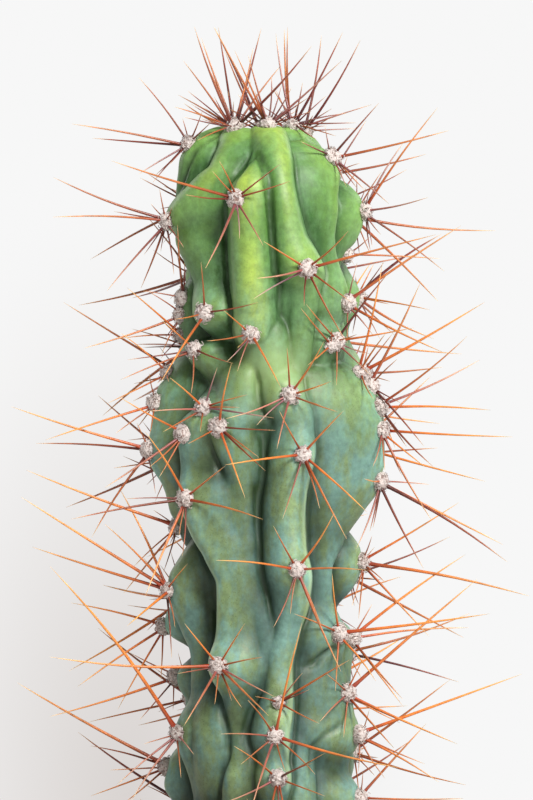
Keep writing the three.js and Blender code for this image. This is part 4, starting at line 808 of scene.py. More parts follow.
# The areoles. On each swelling of a rib sits a cushion of short felted wool, from which the
# spines grow. A tree sets one lumpy cushion on every areole's place, turned to the skin.
WOOL_RADIUS = 2.75
WOOL_VARIES = (0.9, 1.08)  # from cushion to cushion
WOOL_STANDS = 0.25  # its middle over the skin
SMALL_WOOL = {"A34": 1.9, "A10c": 2.2, "A26a": 2.3, "A14a": 2.1, "A20a": 2.4, "A3": 2.2, "A8b": 2.3}
# Areoles that stand beside their rib's crest: (angle, out, up, name)
SIDE_AREOLES = [(43, 28.5, 186.3, "A14a"), (66, 33.6, 174.2, "A20b"), (-16, 33.5, 230, "A5")]

for angle, out, up, name in SIDE_AREOLES:
    level = from_core(out, up)[0]
    areole_names.append(name)
    areole_foot = np.vstack([areole_foot, skin_at(angle, level)])
    areole_normal = np.vstack([areole_normal, skin_normal(angle, level)])
wool_radius = np.array([SMALL_WOOL.get(name, WOOL_RADIUS * mix(*WOOL_VARIES, chance(5 + 3 * i)))
                        for i, name in enumerate(areole_names)])

# Areole wool: short, felted plant hair, pinkish grey white, with painted shade in the gaps between
# its tufts. Dull, with the faint pale sheen that fine fibres have.
wool, tree, shader = new_material("areole_wool")
place = node(tree, "ShaderNodeTexCoord").outputs["Object"]
tufts = node(tree, "ShaderNodeTexNoise", {
    "Vector": place, "Scale": every(1.333), "Detail": 4, "Distortion": 1.5}).outputs[0]
# Painted shade: a darker brown where the tufts' bump is low
gap_shade = node(tree, "ShaderNodeMapRange", {0: tufts, 1: 0.36, 2: 0.52}).outputs[0]
shade = node(tree, "ShaderNodeAttribute", attribute_name="fluff").outputs["Fac"]
felt = node(tree, "ShaderNodeMix", {0: gap_shade, 6: linear("83695F"), 7: linear("D0C4BD")},
            data_type="RGBA").outputs[2]
hair = node(tree, "ShaderNodeMix", {0: shade, 6: linear("A99288"), 7: linear("E4DAD4")},
            data_type="RGBA").outputs[2]
is_hair = node(tree, "ShaderNodeMath", {0: shade, 1: 0.001}, operation="GREATER_THAN").outputs[0]
fibre = node(tree, "ShaderNodeMix", {0: is_hair, 6: felt, 7: hair}, data_type="RGBA").outputs[2]
felted = node(tree, "ShaderNodeBump", {"Height": tufts, "Strength": 0.9, "Distance": 0.0006})
tree.links.new(fibre, shader.inputs["Base Color"])
tree.links.new(felted.outputs[0], shader.inputs["Normal"])
shader.inputs["Roughness"].default_value = 0.9
shader.inputs["Sheen Weight"].default_value = 0.35
shader.inputs["Sheen Roughness"].default_value = 0.5

tree, given, result = new_tree("wool_cushions", {
    "Height for its width": "Float", "Tuft size": "Float", "Tuft depth": "Float"})
normal = node(tree, "GeometryNodeInputNamedAttribute", {"Name": "out"}, data_type="FLOAT_VECTOR").outputs[0]
radius = node(tree, "GeometryNodeInputNamedAttribute", {"Name": "size"}, data_type="FLOAT").outputs[0]
lie = node(tree, "FunctionNodeAlignRotationToVector", {"Vector": normal}, axis="Z")
height = node(tree, "ShaderNodeMath", {0: radius, 1: given["Height for its width"]}, operation="MULTIPLY")
scale = node(tree, "ShaderNodeCombineXYZ", {0: radius, 1: radius, 2: height.outputs[0]})
ball = node(tree, "GeometryNodeMeshIcoSphere", {"Radius": 1.0, "Subdivisions": 4})
points = node(tree, "GeometryNodeMeshToPoints", {"Mesh": given["Geometry"]})
set_on = node(tree, "GeometryNodeInstanceOnPoints", {
    "Points": points.outputs[0], "Instance": ball.outputs["Mesh"], "Rotation": lie.outputs[0],
    "Scale": scale.outputs[0]})
real = node(tree, "GeometryNodeRealizeInstances", {0: set_on.outputs[0]})
fineness = node(tree, "ShaderNodeMath", {0: 1.0, 1: given["Tuft size"]}, operation="DIVIDE")
lumpy = node(tree, "ShaderNodeTexNoise", {
    "Vector": node(tree, "GeometryNodeInputPosition").outputs[0], "Scale": fineness.outputs[0], "Detail": 2,
    "Distortion": 1.0})
depth = node(tree, "ShaderNodeMath", {0: lumpy.outputs[0], 1: 0.5}, operation="SUBTRACT")
depth = node(tree, "ShaderNodeMath", {0: depth.outputs[0], 1: given["Tuft depth"]}, operation="MULTIPLY")
push = node(tree, "ShaderNodeVectorMath", {0: node(tree, "GeometryNodeInputNormal").outputs[0],
                                           3: depth.outputs[0]}, operation="SCALE")
tufted = node(tree, "GeometryNodeSetPosition", {"Geometry": real.outputs[0], "Offset": push.outputs[0]})
smooth = node(tree, "GeometryNodeSetShadeSmooth", {0: tufted.outputs[0]})
finished = node(tree, "GeometryNodeSetMaterial", {"Geometry": smooth.outputs[0], "Material": wool})
tree.links.new(finished.outputs[0], result.inputs[0])

cushions = mesh_piece("areole_wool", areole_foot + WOOL_STANDS * areole_normal, [])
layer = cushions.data.attributes.new("out", "FLOAT_VECTOR", "POINT")
layer.data.foreach_set("vector", areole_normal.astype(np.float32).ravel())
layer = cushions.data.attributes.new("size", "FLOAT", "POINT")
layer.data.foreach_set("value", (wool_radius * MM).astype(np.float32))
grow(cushions, tree, {"Height for its width": 0.86, "Tuft size": 0.00075, "Tuft depth": 0.0017})

# Curled hairs stand up out of the felt and lie over each other. Real ones are far finer; these
# are as coarse as they need to be to show.
tree, given, result = new_tree("wool_hairs", {
    "Hairs per square metre": "Float", "Hair thickness": "Float", "Hair length": "Float", "Seed": "Int"})
roots = node(tree, "GeometryNodeDistributePointsOnFaces", {
    "Mesh": given["Geometry"], "Density": given["Hairs per square metre"], "Seed": given["Seed"]})
bow = node(tree, "GeometryNodeCurveQuadraticBezier", {
    "Resolution": 5, "Start": (0, 0, -0.2), "Middle": (0.1, 0.15, 0.7), "End": (0.8, -0.2, -0.05)})
ring = node(tree, "GeometryNodeCurvePrimitiveCircle", {"Resolution": 3, "Radius": given["Hair thickness"]})
sized = node(tree, "GeometryNodeTransform", {
    "Geometry": bow.outputs[0], "Scale": node(tree, "ShaderNodeCombineXYZ", {
        0: given["Hair length"], 1: given["Hair length"], 2: given["Hair length"]}).outputs[0]})
strand = node(tree, "GeometryNodeCurveToMesh", {"Curve": sized.outputs[0], "Profile Curve": ring.outputs[0],
                                                "Fill Caps": True})
twist = node(tree, "FunctionNodeRandomValue", {0: (-0.5, -0.5, 0), 1: (0.5, 0.5, 2 * math.pi), "Seed": 4},
             data_type="FLOAT_VECTOR")
turn = node(tree, "FunctionNodeRotateRotation", {0: roots.outputs["Rotation"], 1: twist.outputs[0]},
            rotation_space="LOCAL")
length = node(tree, "FunctionNodeRandomValue", {2: 0.6, 3: 1.3, "Seed": 9}, data_type="FLOAT")
stood = node(tree, "GeometryNodeInstanceOnPoints", {
    "Points": roots.outputs["Points"], "Instance": strand.outputs[0], "Rotation": turn.outputs[0],
    "Scale": length.outputs[1]})
shade = node(tree, "FunctionNodeRandomValue", {2: 0.05, 3: 1.0, "Seed": 2}, data_type="FLOAT")
shaded = node(tree, "GeometryNodeStoreNamedAttribute", {
    "Geometry": stood.outputs[0], "Name": "fluff", "Value": shade.outputs[1]},
    data_type="FLOAT", domain="INSTANCE")
real = node(tree, "GeometryNodeRealizeInstances", {0: shaded.outputs[0]})
finished = node(tree, "GeometryNodeSetMaterial", {"Geometry": real.outputs[0], "Material": wool})
tree.links.new(finished.outputs[0], result.inputs[0])

hairs = bpy.data.objects.new("areole_hairs", cushions.data.copy())
bpy.context.scene.collection.objects.link(hairs)
grow(hairs, tree, {"Hairs per square metre": 560000.0, "Hair thickness": 0.00012, "Hair length": 0.0013,
                   "Seed": 3})
for piece in (cushions, hairs):
    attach(piece, "root")
    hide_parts("cactus_stem")

# The spines. Hard, smooth needles with a swollen foot, grown out of the wool: long stiff ones and
# shorter ones round them. Each follows its own slightly bowed line from the wool to its tip.
# {areole: [(right, up, towards the front, tone), ...]}, the tip's place from the areole in mm
SPINES = {
    "A1": [(-12, 30, 6, "r"), (23, 24, 12, "m"), (-10, 27, -8, "o"), (14, 19, -10, "o"), (-18, 6, 8, "o"),
        (-17, 10, -8, "o"), (-2, 11, -4, "k"), (-11, -4, 8, "o"), (-2, -6, 6, "m"), (3, -4, 5, "m"),
        (2, 10, -3, "k"), (-13, 7, 2, "k"), (-15, 3, 5, "k"), (-6, 9, 7, "k"), (8, 8, 5, "m"),
        (-9, 6, -6, "k"), (5, 14, 2, "m"), (-14, 11, -3, "m"), (-5, 14, -7, "k")],
    "A1b": [(6, 25, -12, "o"), (-9, 22, -10, "o"), (-15, 21, -8, "o"), (-9, 0, -5, "r")],
    "A2": [(-16, 29, 6, "o"), (22, 19, 10, "p"), (-10, 22, 10, "o"), (-6, 21, -8, "r"), (4, 12, -5, "m"),
        (7, 11, 5, "m"), (-9, 9, 3, "k"), (-4, 10, 8, "k"), (10, 7, -2, "k"), (-12, 5, -4, "m"),
        (1, 15, -6, "m"), (13, 4, 5, "k"), (-8, 13, -2, "k")],
    "A3": [(15, 28, 4, "m"), (-5, 28, -6, "p"), (16, 4, -6, "m"), (13, -3, 4, "r"), (7, -4, 8, "m"),
        (-9, 6, 3, "k"), (-5, 11, -3, "k"), (3, 13, 2, "m"), (10, 9, 1, "k"), (19, 1, 2, "m")],
    "A4": [(-35, 6, 8, "o"), (-29, 2, -4, "m"), (-15, 20, 2, "r"), (-15, -9, 8, "p"), (-10, -9, -4, "m"),
        (-9, -13, 2, "m"), (4, 10, 3, "r"), (-2, -9, 5, "m"), (10, 3, 9, "r"), (-2, 8, -5, "r")],
    "A5": [(-37, 11, 14, "o"), (-9, -21, 28, "p"), (13, 10, 12, "r"), (16, 5, 10, "r"), (-15, 1, 10, "m"),
        (-5, 11, 12, "o"), (-7, 8, 9, "o"), (8, -14, 10, "p"), (1, -12, 8, "g")],
    "A6": [(-34, 13, 6, "r"), (-34, 1, 14, "o"), (-18, -21, 4, "p"), (-8, -20, -10, "r"),
        (-16, 3, -8, "m"), (-7, -10, -5, "m"), (-2, -9, -3, "m"), (2, -16, 2, "m"), (5, -8, 10, "p"),
        (8, 5, 9, "r"), (-3, 6, -3, "o"), (0, 10, 2, "r")],
    "A7": [(35, 8, 2, "o"), (17, -14, 10, "p"), (14, 16, 10, "m"), (-11, 3, 12, "m"), (6, -11, 6, "m"),
        (1, -12, 9, "p"), (-2, 9, 5, "p"), (6, -12, -4, "o")],
    "A7b": [(10, 16, -5, "m"), (28, 6, -14, "r"), (8, 3, 3, "o")],
    "A8": [(22, 31, 4, "o"), (24, -18, 5, "r"), (12, 21, -8, "p"), (19, 4, 12, "l"), (5, -7, 5, "p"),
        (0, -11, 3, "m"), (2, -12, -4, "m"), (-1, 6, 4, "m")],
    "A8b": [(28, -1, -6, "o"), (11, 0, -4, "m"), (3, 8, -8, "r")],
    "A9": [(38, 10, 14, "o"), (-15, -3, 22, "l"), (11, -21, 12, "r"), (-13, 8, 14, "o"),
        (12, 11, 18, "o"), (-1, -11, 8, "m"), (-16, -9, 9, "g"), (13, -10, 9, "r")],
    "A10a": [(3, 22, 12, "r"), (-2, 13, -5, "r"), (5, 10, 8, "m"), (-12, 2, 3, "r")],
    "A10b": [(-29, -10, 10, "o"), (-6, -12, 6, "r"), (-10, 7, 3, "r"), (-5, -7, -2, "k")],
    "A10c": [(-16, 14, 12, "o"), (-18, -1, -4, "b"), (-6, -7, 3, "m")],
    "A11": [(-13, -21, 20, "o"), (-1, 15, 12, "r"), (16, 3, 12, "m"), (-9, -2, 9, "o")],
    "A12": [(9, -16, 22, "o"), (-13, -2, 8, "r"), (-4, -11, 9, "p"), (-8, 7, 9, "o"), (-7, -8, 8, "g"),
        (-4, -4, 8, "r")],
    "A13": [(34, 23, 8, "o"), (29, -15, 10, "o"), (8, -10, 6, "p"), (3, 12, 6, "l"), (0, -12, 4, "r")],
    "A14a": [(-9, 11, 11, "r"), (-1, 6, 4, "r"), (-7, -6, 12, "o")],
    "A14b": [(16, 21, 10, "m"), (23, 4, 8, "o"), (-9, 11, 11, "r"), (10, -10, 8, "p"), (9, -4, 4, "g"),
        (0, -13, 6, "r"), (6, 2, 10, "o")],
    "A15": [(-22, -9, 8, "r"), (-20, -3, 4, "m"), (13, -5, 12, "m"), (-1, -13, 9, "r"), (-10, 9, 6, "o")],
    "A16": [(-19, -7, 10, "l"), (10, 16, 16, "o"), (-4, -16, 14, "p"), (12, 4, 14, "o"), (14, -5, 9, "r"),
        (-10, -9, 9, "g"), (-1, 14, 9, "r"), (9, -3, 12, "r")],
    "A17": [(22, -4, 14, "g"), (-10, 9, 14, "o"), (-17, -1, 10, "l"), (13, 4, 9, "r"), (4, 12, 8, "g"),
        (-12, -7, 9, "r"), (-1, -7, 8, "r"), (13, -2, 6, "r")],
    "A18": [(8, -21, 22, "o"), (4, 19, 14, "o"), (14, -13, 14, "m"), (17, -1, 10, "m"), (-9, -5, 9, "r"),
        (12, -9, 8, "r")],
    "A19": [(-23, -16, 16, "p"), (-19, 11, 12, "o"), (-10, -10, 9, "r"), (-7, -13, 8, "r")],
    "A20a": [(7, 33, 8, "o"), (8, 12, 14, "o"), (1, -11, 10, "r")],
    "A20b": [(15, 31, 10, "b"), (8, 8, 10, "r"), (16, -18, 10, "m"), (9, -5, 5, "m")],
    "A21": [(33, -1, 6, "o"), (26, 21, 8, "r"), (30, 14, -6, "l"), (16, -18, 10, "m"), (8, -12, 5, "r")],
    "A22": [(39, -2, 10, "o"), (15, -27, 10, "r"), (13, -11, 8, "o"), (-5, -11, 12, "p"),
        (4, -14, -4, "m"), (1, -12, 6, "r")],
    "A23": [(38, -24, 8, "m"), (37, -19, -4, "o"), (13, -26, 12, "m"), (-7, -20, 9, "p"),
        (15, -1, -8, "l"), (-9, 2, 12, "o"), (-3, -15, 4, "m"), (-2, -14, -2, "m")],
    "A24": [(13, -25, 14, "r"), (19, -17, 12, "o"), (-23, -3, 18, "o"), (12, 13, 14, "o"),
        (-7, 13, 9, "r"), (-6, -19, 8, "m"), (5, -16, 7, "r")],
    "A25": [(-34, -6, 14, "m"), (-12, -29, 12, "o"), (-12, 20, 14, "o"), (23, -6, 18, "r"),
        (12, 10, 12, "r"), (-18, 0, 6, "m"), (-1, -17, 9, "m"), (-2, -11, 6, "r")],
    "A26a": [(-18, -9, 4, "o"), (-14, 12, 8, "o"), (9, -7, 8, "r"), (3, -6, 5, "r")],
    "A26b": [(-33, -11, 8, "o"), (-13, -4, 2, "r"), (-12, -9, 5, "r"), (3, -10, 8, "r"), (-2, 9, 2, "r")],
    "A26c": [(-41, 13, 8, "o"), (-34, 2, -6, "m"), (-17, -26, 6, "r"), (2, -13, 5, "m"), (1, 9, 2, "r")],
    "K2": [(-45, 17, 4, "o"), (-16, -20, -3, "b"), (-13, -12, 3, "b"), (0, -14, 5, "m"), (-7, 5, 3, "r"),
        (-2, -5, 4, "r")],
    "A27": [(13, -30, 14, "r"), (-24, 3, 18, "o"), (21, 0, 18, "o"), (11, 17, 14, "o"), (-7, 13, 10, "r"),
        (-7, -17, 8, "m"), (7, -16, 7, "r"), (-2, -13, 6, "r")],
    "A28": [(-44, 28, 5, "o"), (-41, 13, -5, "b"), (-12, -10, 30, "o"), (-19, 20, 8, "b"),
        (-15, 31, -8, "o"), (8, 8, 12, "o"), (2, -11, 8, "r"), (1, -20, 6, "m")],
    "A29": [(-26, -18, 4, "b"), (-28, 7, -4, "b"), (-14, -25, -4, "b"), (-1, -16, 3, "b")],
    "A30": [(50, -10, 6, "b"), (29, 18, 8, "o"), (20, -22, 10, "b"), (-1, -17, 3, "r"), (7, -6, 6, "r"),
        (3, 8, 6, "r"), (-3, -13, 6, "r")],
    "A31a": [(45, 6, 10, "o"), (-2, 18, 12, "o"), (-15, 6, 12, "r"), (11, -14, 12, "o"),
        (-1, -17, 9, "r")],
    "A31b": [(34, 25, -4, "o"), (35, 3, -6, "o"), (15, -20, 6, "b"), (6, 10, -4, "r"),
        (15, -18, 10, "r")],
    "A32": [(-50, 3, 10, "o"), (15, -14, 26, "r"), (-10, -17, 22, "p"), (8, 13, 14, "o"),
        (-10, 13, 12, "o"), (13, 3, 12, "r"), (7, -12, 9, "r"), (4, -10, 9, "r"), (-1, -11, 9, "r"),
        (-12, -2, 6, "m"), (17, -9, 8, "p")],
    "A33": [(39, 34, -4, "b"), (33, -15, 8, "o"), (14, -16, 16, "r"), (-8, -8, 14, "p"), (5, 11, 6, "o"),
        (16, -9, -4, "b"), (-1, -13, 7, "r"), (-6, 6, 12, "r")],
    "A34": [(21, 13, 12, "r"), (12, -6, 9, "r"), (7, 9, 8, "l"), (-7, 2, 8, "r"), (9, 4, 6, "m")],
    "A35": [(37, -9, 14, "b"), (8, 34, 16, "o"), (-7, -21, 20, "p"), (-16, 1, 10, "p"), (-8, 11, 9, "r"),
        (12, -11, 10, "r"), (3, -10, 8, "r"), (-10, -8, 8, "r")],
    "A36": [(10, 5, 18, "m"), (14, 8, 14, "r"), (-3, -16, 14, "r"), (-13, 10, 12, "r"),
        (-16, -7, 10, "p"), (14, -5, 8, "r"), (5, -18, 12, "r"), (0, -15, 8, "m")],
    "A37": [(-38, 50, 10, "o"), (-14, -20, 14, "p"), (-18, -15, 10, "p"), (7, -6, 10, "p"),
        (-8, 12, -3, "m"), (1, -13, 7, "r"), (-10, -3, 4, "r")],
    "A38": [(-45, 25, -4, "b"), (-23, 6, -6, "m"), (-23, -9, -3, "r"), (-13, -11, 5, "r"),
        (-17, -1, 3, "r")],
    "A39": [(49, 18, -3, "o"), (24, -14, 6, "b"), (20, -9, -6, "r"), (8, -13, 3, "r"), (0, -11, 5, "r")],
    "A40": [(31, 0, 5, "b"), (20, 22, -6, "r"), (12, -18, 8, "r"), (1, 8, 3, "r")],
    "A41": [(-38, -12, 4, "b"), (-11, -13, 3, "m"), (-14, 7, -4, "r"), (-1, -10, 2, "r")],
}
# (how warm a spine's colour is, from black red to orange, how faded and grey it is), for orange,
# red, maroon, nearly black, pinkish, grey, pale straw and brown
TONES = {
    "o": (0.95, 0), "r": (0.48, 0), "m": (0.12, 0), "k": (-0.1, 0), "p": (0.5, 0.42), "g": (0.2, 0.8),
    "l": (1, 0.6), "b": (0.78, 0.05)}
TONE_SPREAD = 0.05
# An areole without a list has (how many, lean from straight out in degrees, length) of each kind
SEEDED_KINDS = [(2, (18, 42), (32, 44)), (1, (50, 68), (17, 26)), (6, (55, 78), (9, 17))]
SEEDED_TONES = "ooorrmrpmk"
LONG_SPINES = 3  # the first of them, a third of a turn apart
CLOCK_SWAY = 20  # degrees by which each is turned to either side
SPINE_CLEAR = 1  # over the skin
SPINE_LOW = 4  # over the soil
SPINE_TOP = 282  # and the highest tip, above the soil
SPINE_REACH = 80  # the widest tip, from the axis
SPINE_PUSH = 2.5  # by which a spine that is in the way moves out, up to SPINE_ROUNDS times
SPINE_ROUNDS = 14
SPINE_SIDES = 6
SPINE_POINTS = 9
SPINE_BOW = 0.03  # of a spine's length
ROOT_RISE = 0.6  # of a spine's start over the cushion's foot
ROOT_ASIDE = 0.55  # of the cushion's radius
SPINE_RADIUS = 0.13  # at the foot, and how much more for each millimetre of length
RADIUS_GROWTH = 0.0092
TIP_RADIUS = 0.03
BULB_SWELL, BULB_LENGTH = 0.55, 1.4  # of the swollen foot
YOUNG_FROM, YOUNG_RUN = 290, 80  # the height from which spines turn darker, and over how much
YOUNG_SHARE = 0.55


def clear_of_skin(points):
    """How far points lie outside the skin, measured away from the core."""
    out = np.hypot(points[:, 0], points[:, 1])
    level, reach = from_core(out, points[:, 2] - SOIL_LEVEL)
    return reach - reach_at(np.degrees(np.arctan2(points[:, 0], -points[:, 1])), level)


def settled(foot, spine, normal):
    """Lifts spines off the skin that they would run into, and keeps them inside their reach."""
    length = np.linalg.norm(spine, axis=1, keepdims=True)
    for _ in range(SPINE_ROUNDS):
        clear = np.ones(len(spine), bool)
        for t in (0.3, 0.5, 0.75, 1):
            point = foot + spine * t
            clear &= (clear_of_skin(point) > SPINE_CLEAR) & (point[:, 2] > SOIL_LEVEL + SPINE_LOW)
        blocked = ~clear
        spine[blocked] += SPINE_PUSH * normal[blocked]
        spine[blocked & (foot[:, 2] + spine[:, 2] < SOIL_LEVEL + SPINE_LOW + 1), 2] += SPINE_PUSH
        spine *= length / np.linalg.norm(spine, axis=1, keepdims=True)
    over = np.hypot(*(foot + spine)[:, :2].T) - SPINE_REACH
    spine *= np.where(over > 0, 1 - over / np.hypot(spine[:, 0], spine[:, 1]), 1)[:, None]
    over = foot[:, 2] + spine[:, 2] - SOIL_LEVEL - SPINE_TOP
    high = over > 0
    spine[high] *= (1 - over[high] / spine[high, 2])[:, None]
    return spine


def seeded_spines(normal, seed):
    """An areole's spines by rule: two long ones, one that lies lower, and short ones round them."""
    upright = np.array((0, 0, 1)) - normal * normal[2]
    upright /= np.linalg.norm(upright)
    sideways = np.cross(upright, normal)
    start = 360 * chance(seed)
    kinds = [(leans, lengths) for count, leans, lengths in SEEDED_KINDS for _ in range(count)]
    spines = []
    for i, (leans, lengths) in enumerate(kinds):
        step = i * 120 if i < LONG_SPINES else 40 + i * 63
        clock = math.radians(start + step + mix(-CLOCK_SWAY, CLOCK_SWAY, chance(seed + i + 0.2)))
        lean = math.radians(mix(*leans, chance(seed + i + 0.4)))
        length = mix(*lengths, chance(seed + i + 0.7))
        aside = math.cos(clock) * upright + math.sin(clock) * sideways
        tone = SEEDED_TONES[int(len(SEEDED_TONES) * chance(seed + i + 0.9))]
        spines.append((length * (math.cos(lean) * normal + math.sin(lean) * aside), tone))
    return spines


rows = []
for i, name in enumerate(areole_names):
    if name:
        listed = [(np.array((right, -front, up), float), tone) for right, up, front, tone in SPINES[name]]
    else:
        listed = seeded_spines(areole_normal[i], 10 * (i + 1))
    rows += [(i, spine, tone) for spine, tone in listed]
owner = np.array([row[0] for row in rows])
foot, normal = areole_foot[owner], areole_normal[owner]
spine = settled(foot, np.array([row[1] for row in rows]), normal)
tip = foot + spine
length = np.linalg.norm(spine, axis=1)
# They part inside the wool: each starts on the side of the cushion to which it leans
lean = spine / length[:, None]
lean -= normal * np.sum(lean * normal, 1, keepdims=True)
start = foot + ROOT_RISE * normal + ROOT_ASIDE * wool_radius[owner][:, None] * lean
along = np.linspace(0, 1, SPINE_POINTS) ** 1.25
draw = np.random.default_rng(7)
bow = np.cross(spine, draw.normal(size=spine.shape))
bow *= (draw.uniform(0.2, 1, len(spine)) * SPINE_BOW * length / np.linalg.norm(bow, axis=1))[:, None]
t = along[None, :, None]
lines = start[:, None] * (1 - t) + tip[:, None] * t + bow[:, None] * np.sin(math.pi * t)
thickness = (SPINE_RADIUS + RADIUS_GROWTH * length * draw.uniform(0.85, 1.12, len(spine)))[:, None]
bulb = 1 + BULB_SWELL * np.exp(-((along[None] * length[:, None]) / BULB_LENGTH) ** 2)
radius = thickness * bulb * (1 - along[None]) ** 0.6 + TIP_RADIUS

spines = bpy.data.meshes.new("spines")
firsts = range(0, len(spine) * SPINE_POINTS, SPINE_POINTS)
edges = [(first + k, first + k + 1) for first in firsts for k in range(SPINE_POINTS - 1)]
spines.from_pydata((lines.reshape(-1, 3) * MM).tolist(), edges, [])
tones = np.array([TONES[row[2]] for row in rows])
tones = tones + draw.normal(scale=TONE_SPREAD, size=tones.shape)
# The young ones near the top are dark red, and the short ones darker than the long ones
tones[:, 0] *= 1 - YOUNG_SHARE * np.clip((foot[:, 2] - YOUNG_FROM) / YOUNG_RUN, 0, 1)
tones[:, 0] *= np.clip(0.4 + length / 32, 0, 1)
for name, values in (
        ("thickness", radius * MM), ("along", np.broadcast_to(along, radius.shape)),
        ("warmth", np.repeat(tones[:, 0], SPINE_POINTS)), ("fade", np.repeat(tones[:, 1], SPINE_POINTS))):
    layer = spines.attributes.new(name, "FLOAT", "POINT")
    layer.data.foreach_set("value", np.clip(values, 0, 1).astype(np.float32).ravel())
spines = bpy.data.objects.new("spines", spines)
bpy.context.scene.collection.objects.link(spines)

# Spine wood: dense and glassy smooth. Maroon, nearly black at the foot, through red and orange
# to a straw-coloured tip; old ones have weathered to a pinkish grey.
horn, tree, shader = new_material("spine_wood")
along_it = node(tree, "ShaderNodeAttribute", attribute_name="along").outputs["Fac"]
warmth = node(tree, "ShaderNodeAttribute", attribute_name="warmth").outputs["Fac"]
faded = node(tree, "ShaderNodeAttribute", attribute_name="fade").outputs["Fac"]
place = node(tree, "ShaderNodeTexCoord").outputs["Object"]
grain = node(tree, "ShaderNodeTexNoise", {"Vector": place, "Scale": every(3.85), "Detail": 2}).outputs[0]
from_foot = node(tree, "ShaderNodeMapRange", {0: along_it, 1: 0.02, 2: 0.3}).outputs[0]
to_tip = node(tree, "ShaderNodeMapRange", {0: along_it, 1: 0.35, 2: 0.95}).outputs[0]
dark_foot = node(tree, "ShaderNodeMix", {0: from_foot, 6: linear("2C0D0D"), 7: linear("5E1F1B")},
                 data_type="RGBA").outputs[2]
dark = node(tree, "ShaderNodeMix", {0: to_tip, 6: dark_foot, 7: linear("9C4A33")},
            data_type="RGBA").outputs[2]
warm_foot = node(tree, "ShaderNodeMix", {0: from_foot, 6: linear("A4361A"), 7: linear("E27E32")},
                 data_type="RGBA").outputs[2]
warm = node(tree, "ShaderNodeMix", {0: to_tip, 6: warm_foot, 7: linear("F7B25A")},
            data_type="RGBA").outputs[2]
fresh = node(tree, "ShaderNodeMix", {0: warmth, 6: dark, 7: warm}, data_type="RGBA").outputs[2]
grey = node(tree, "ShaderNodeMix", {0: to_tip, 6: linear("8C5F68"), 7: linear("D3B0A0")},
            data_type="RGBA").outputs[2]
worn = node(tree, "ShaderNodeMix", {0: faded, 6: fresh, 7: grey}, data_type="RGBA").outputs[2]
tip_tone = node(tree, "ShaderNodeMapRange", {0: along_it, 1: 0.8, 2: 1.0, 4: 0.8}).outputs[0]
tipped = node(tree, "ShaderNodeMix", {0: tip_tone, 6: worn, 7: linear("ECC78C")},
              data_type="RGBA").outputs[2]
uneven = node(tree, "ShaderNodeMapRange", {0: grain, 1: 0.3, 2: 0.7, 3: 0.8, 4: 1.15}).outputs[0]
needle = node(tree, "ShaderNodeMix", {0: 1.0, 6: tipped, 7: uneven},
              data_type="RGBA", blend_type="MULTIPLY").outputs[2]
tree.links.new(needle, shader.inputs["Base Color"])
shader.inputs["Roughness"].default_value = 0.36
shader.inputs["IOR"].default_value = 1.5
shader.inputs["Subsurface Weight"].default_value = 0.1
shader.inputs["Subsurface Scale"].default_value = 0.001

tree, given, result = new_tree("spine_needles", {"Sides": "Int"})
line = node(tree, "GeometryNodeMeshToCurve", {"Mesh": given["Geometry"]})
thick = node(tree, "GeometryNodeInputNamedAttribute", {"Name": "thickness"}, data_type="FLOAT").outputs[0]
ring = node(tree, "GeometryNodeCurvePrimitiveCircle", {"Resolution": given["Sides"], "Radius": 1.0})
tube = node(tree, "GeometryNodeCurveToMesh", {"Curve": line.outputs[0], "Profile Curve": ring.outputs[0],
                                              "Scale": thick, "Fill Caps": True})
smooth = node(tree, "GeometryNodeSetShadeSmooth", {0: tube.outputs[0]})
finished = node(tree, "GeometryNodeSetMaterial", {"Geometry": smooth.outputs[0], "Material": horn})
tree.links.new(finished.outputs[0], result.inputs[0])
grow(spines, tree, {"Sides": SPINE_SIDES})
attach(spines, "root")
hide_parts("cactus_stem")

# The studio. A pale floor under a white surround that is brighter on the right. A soft key lamp
# stands in front on the right and above, with a weak rim lamp and a weak fill lamp behind, and the
# camera is level with the upper half of the stem. Lengths are in metres here.
CAMERA_AWAY = 3.6
CAMERA_HEIGHT = 0.298
VIEW_HEIGHT = 0.24
FLOOR_RADIUS = 4.8
FLOOR_SIDES = 96
LAMP_TARGET = Vector((0, 0, 0.3))  # the stem's upper half
# (name, place, size, watts)
LAMPS = [
    ("key", (0.66, -1.15, 1.22), 0.45, 38), ("rim", (0.9, 0.8, 0.9), 0.6, 5),
    ("fill", (-1, 0.9, 0.9), 0.8, 7)]

floor = bpy.data.meshes.new("floor")
ring = np.radians(np.arange(FLOOR_SIDES) * 360 / FLOOR_SIDES)
corners = [(FLOOR_RADIUS * math.cos(turn), FLOOR_RADIUS * math.sin(turn), 0) for turn in ring]
floor.from_pydata(corners, [], [range(FLOOR_SIDES)])
floor = bpy.data.objects.new("floor", floor)
bpy.context.scene.collection.objects.link(floor)

# Matt white board. Far from the pot it glows as the surround does, so that no horizon shows.
board, tree, shader = new_material("white_board")
place = node(tree, "ShaderNodeTexCoord").outputs["Object"]
away = node(tree, "ShaderNodeVectorMath", {0: place}, operation="LENGTH").outputs[1]
far = node(tree, "ShaderNodeMapRange", {0: away, 1: 0.2, 2: 0.95},
           interpolation_type="SMOOTHSTEP").outputs[0]
glow = node(tree, "ShaderNodeEmission", {"Color": linear("F7F7F7")})
blend = node(tree, "ShaderNodeMixShader", {0: far, 1: shader.outputs[0], 2: glow.outputs[0]})
tree.links.new(blend.outputs[0], tree.nodes["Material Output"].inputs[0])
shader.inputs["Base Color"].default_value = linear("DDDAD7")
shader.inputs["Roughness"].default_value = 0.7
floor.data.materials.append(board)

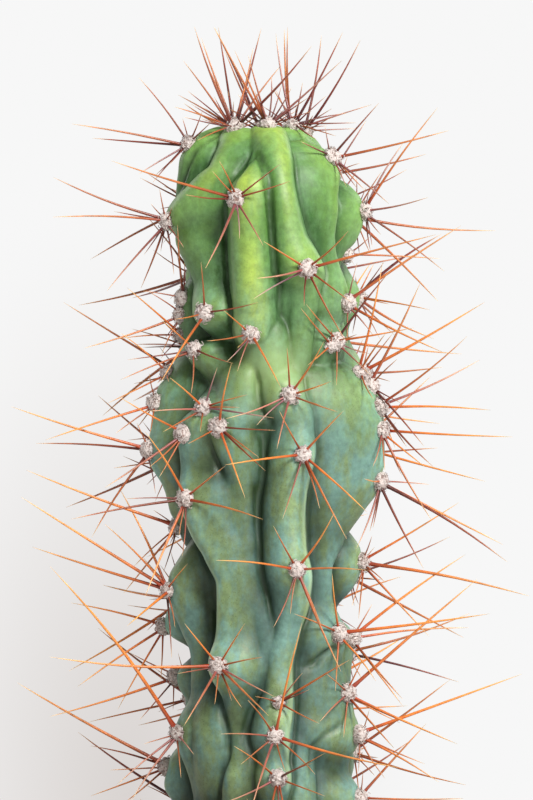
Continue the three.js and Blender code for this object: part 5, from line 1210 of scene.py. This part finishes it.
# The surround, which the camera sees much brighter than the light that it gives
world = bpy.data.worlds.new("white_surround")
bpy.context.scene.world = world
world.use_nodes = True
tree = world.node_tree
tree.nodes.clear()
way = node(tree, "ShaderNodeTexCoord").outputs["Generated"]
split = node(tree, "ShaderNodeSeparateXYZ", {0: way})
# The stem's faint, wide shade on the wall, low on its left
from_shade = node(tree, "ShaderNodeMapping", {
    "Vector": way, "Location": (0.0228, 0, 0.0333), "Scale": (2, 0, 1)})
away = node(tree, "ShaderNodeVectorMath", {0: from_shade.outputs[0]}, operation="LENGTH").outputs[1]
clear = node(tree, "ShaderNodeMapRange", {0: away, 1: -0.012, 2: 0.054}, interpolation_type="SMOOTHSTEP")
wall = node(tree, "ShaderNodeMix", {0: clear.outputs[0], 6: linear("D6D0CD"), 7: linear("F7F7F7")},
            data_type="RGBA")
side = node(tree, "ShaderNodeMapRange", {0: split.outputs["X"], 1: -0.8, 2: 0.8, 3: 0.19, 4: 0.3})
lit = node(tree, "ShaderNodeBackground", {0: (1, 1, 1, 1), 1: side.outputs[0]})
shown = node(tree, "ShaderNodeBackground", {0: wall.outputs[2], 1: 1.0})
is_camera = node(tree, "ShaderNodeLightPath").outputs["Is Camera Ray"]
both = node(tree, "ShaderNodeMixShader", {0: is_camera, 1: lit.outputs[0], 2: shown.outputs[0]})
node(tree, "ShaderNodeOutputWorld", {0: both.outputs[0]})

for name, place, size, watts in LAMPS:
    lamp = bpy.data.lights.new(name, "AREA")
    lamp.size, lamp.energy = size, watts
    lamp = bpy.data.objects.new(name, lamp)
    lamp.location = place
    lamp.rotation_euler = (Vector(place) - LAMP_TARGET).to_track_quat("Z", "Y").to_euler()
    bpy.context.scene.collection.objects.link(lamp)

camera = bpy.data.cameras.new("camera")
camera.lens = camera.sensor_width * CAMERA_AWAY / VIEW_HEIGHT
camera = bpy.data.objects.new("camera", camera)
camera.location = (0, -CAMERA_AWAY, CAMERA_HEIGHT)
camera.rotation_euler = (math.pi / 2, 0, 0)
bpy.context.scene.collection.objects.link(camera)
bpy.context.scene.camera = camera
bpy.context.scene.view_settings.view_transform = "Standard"
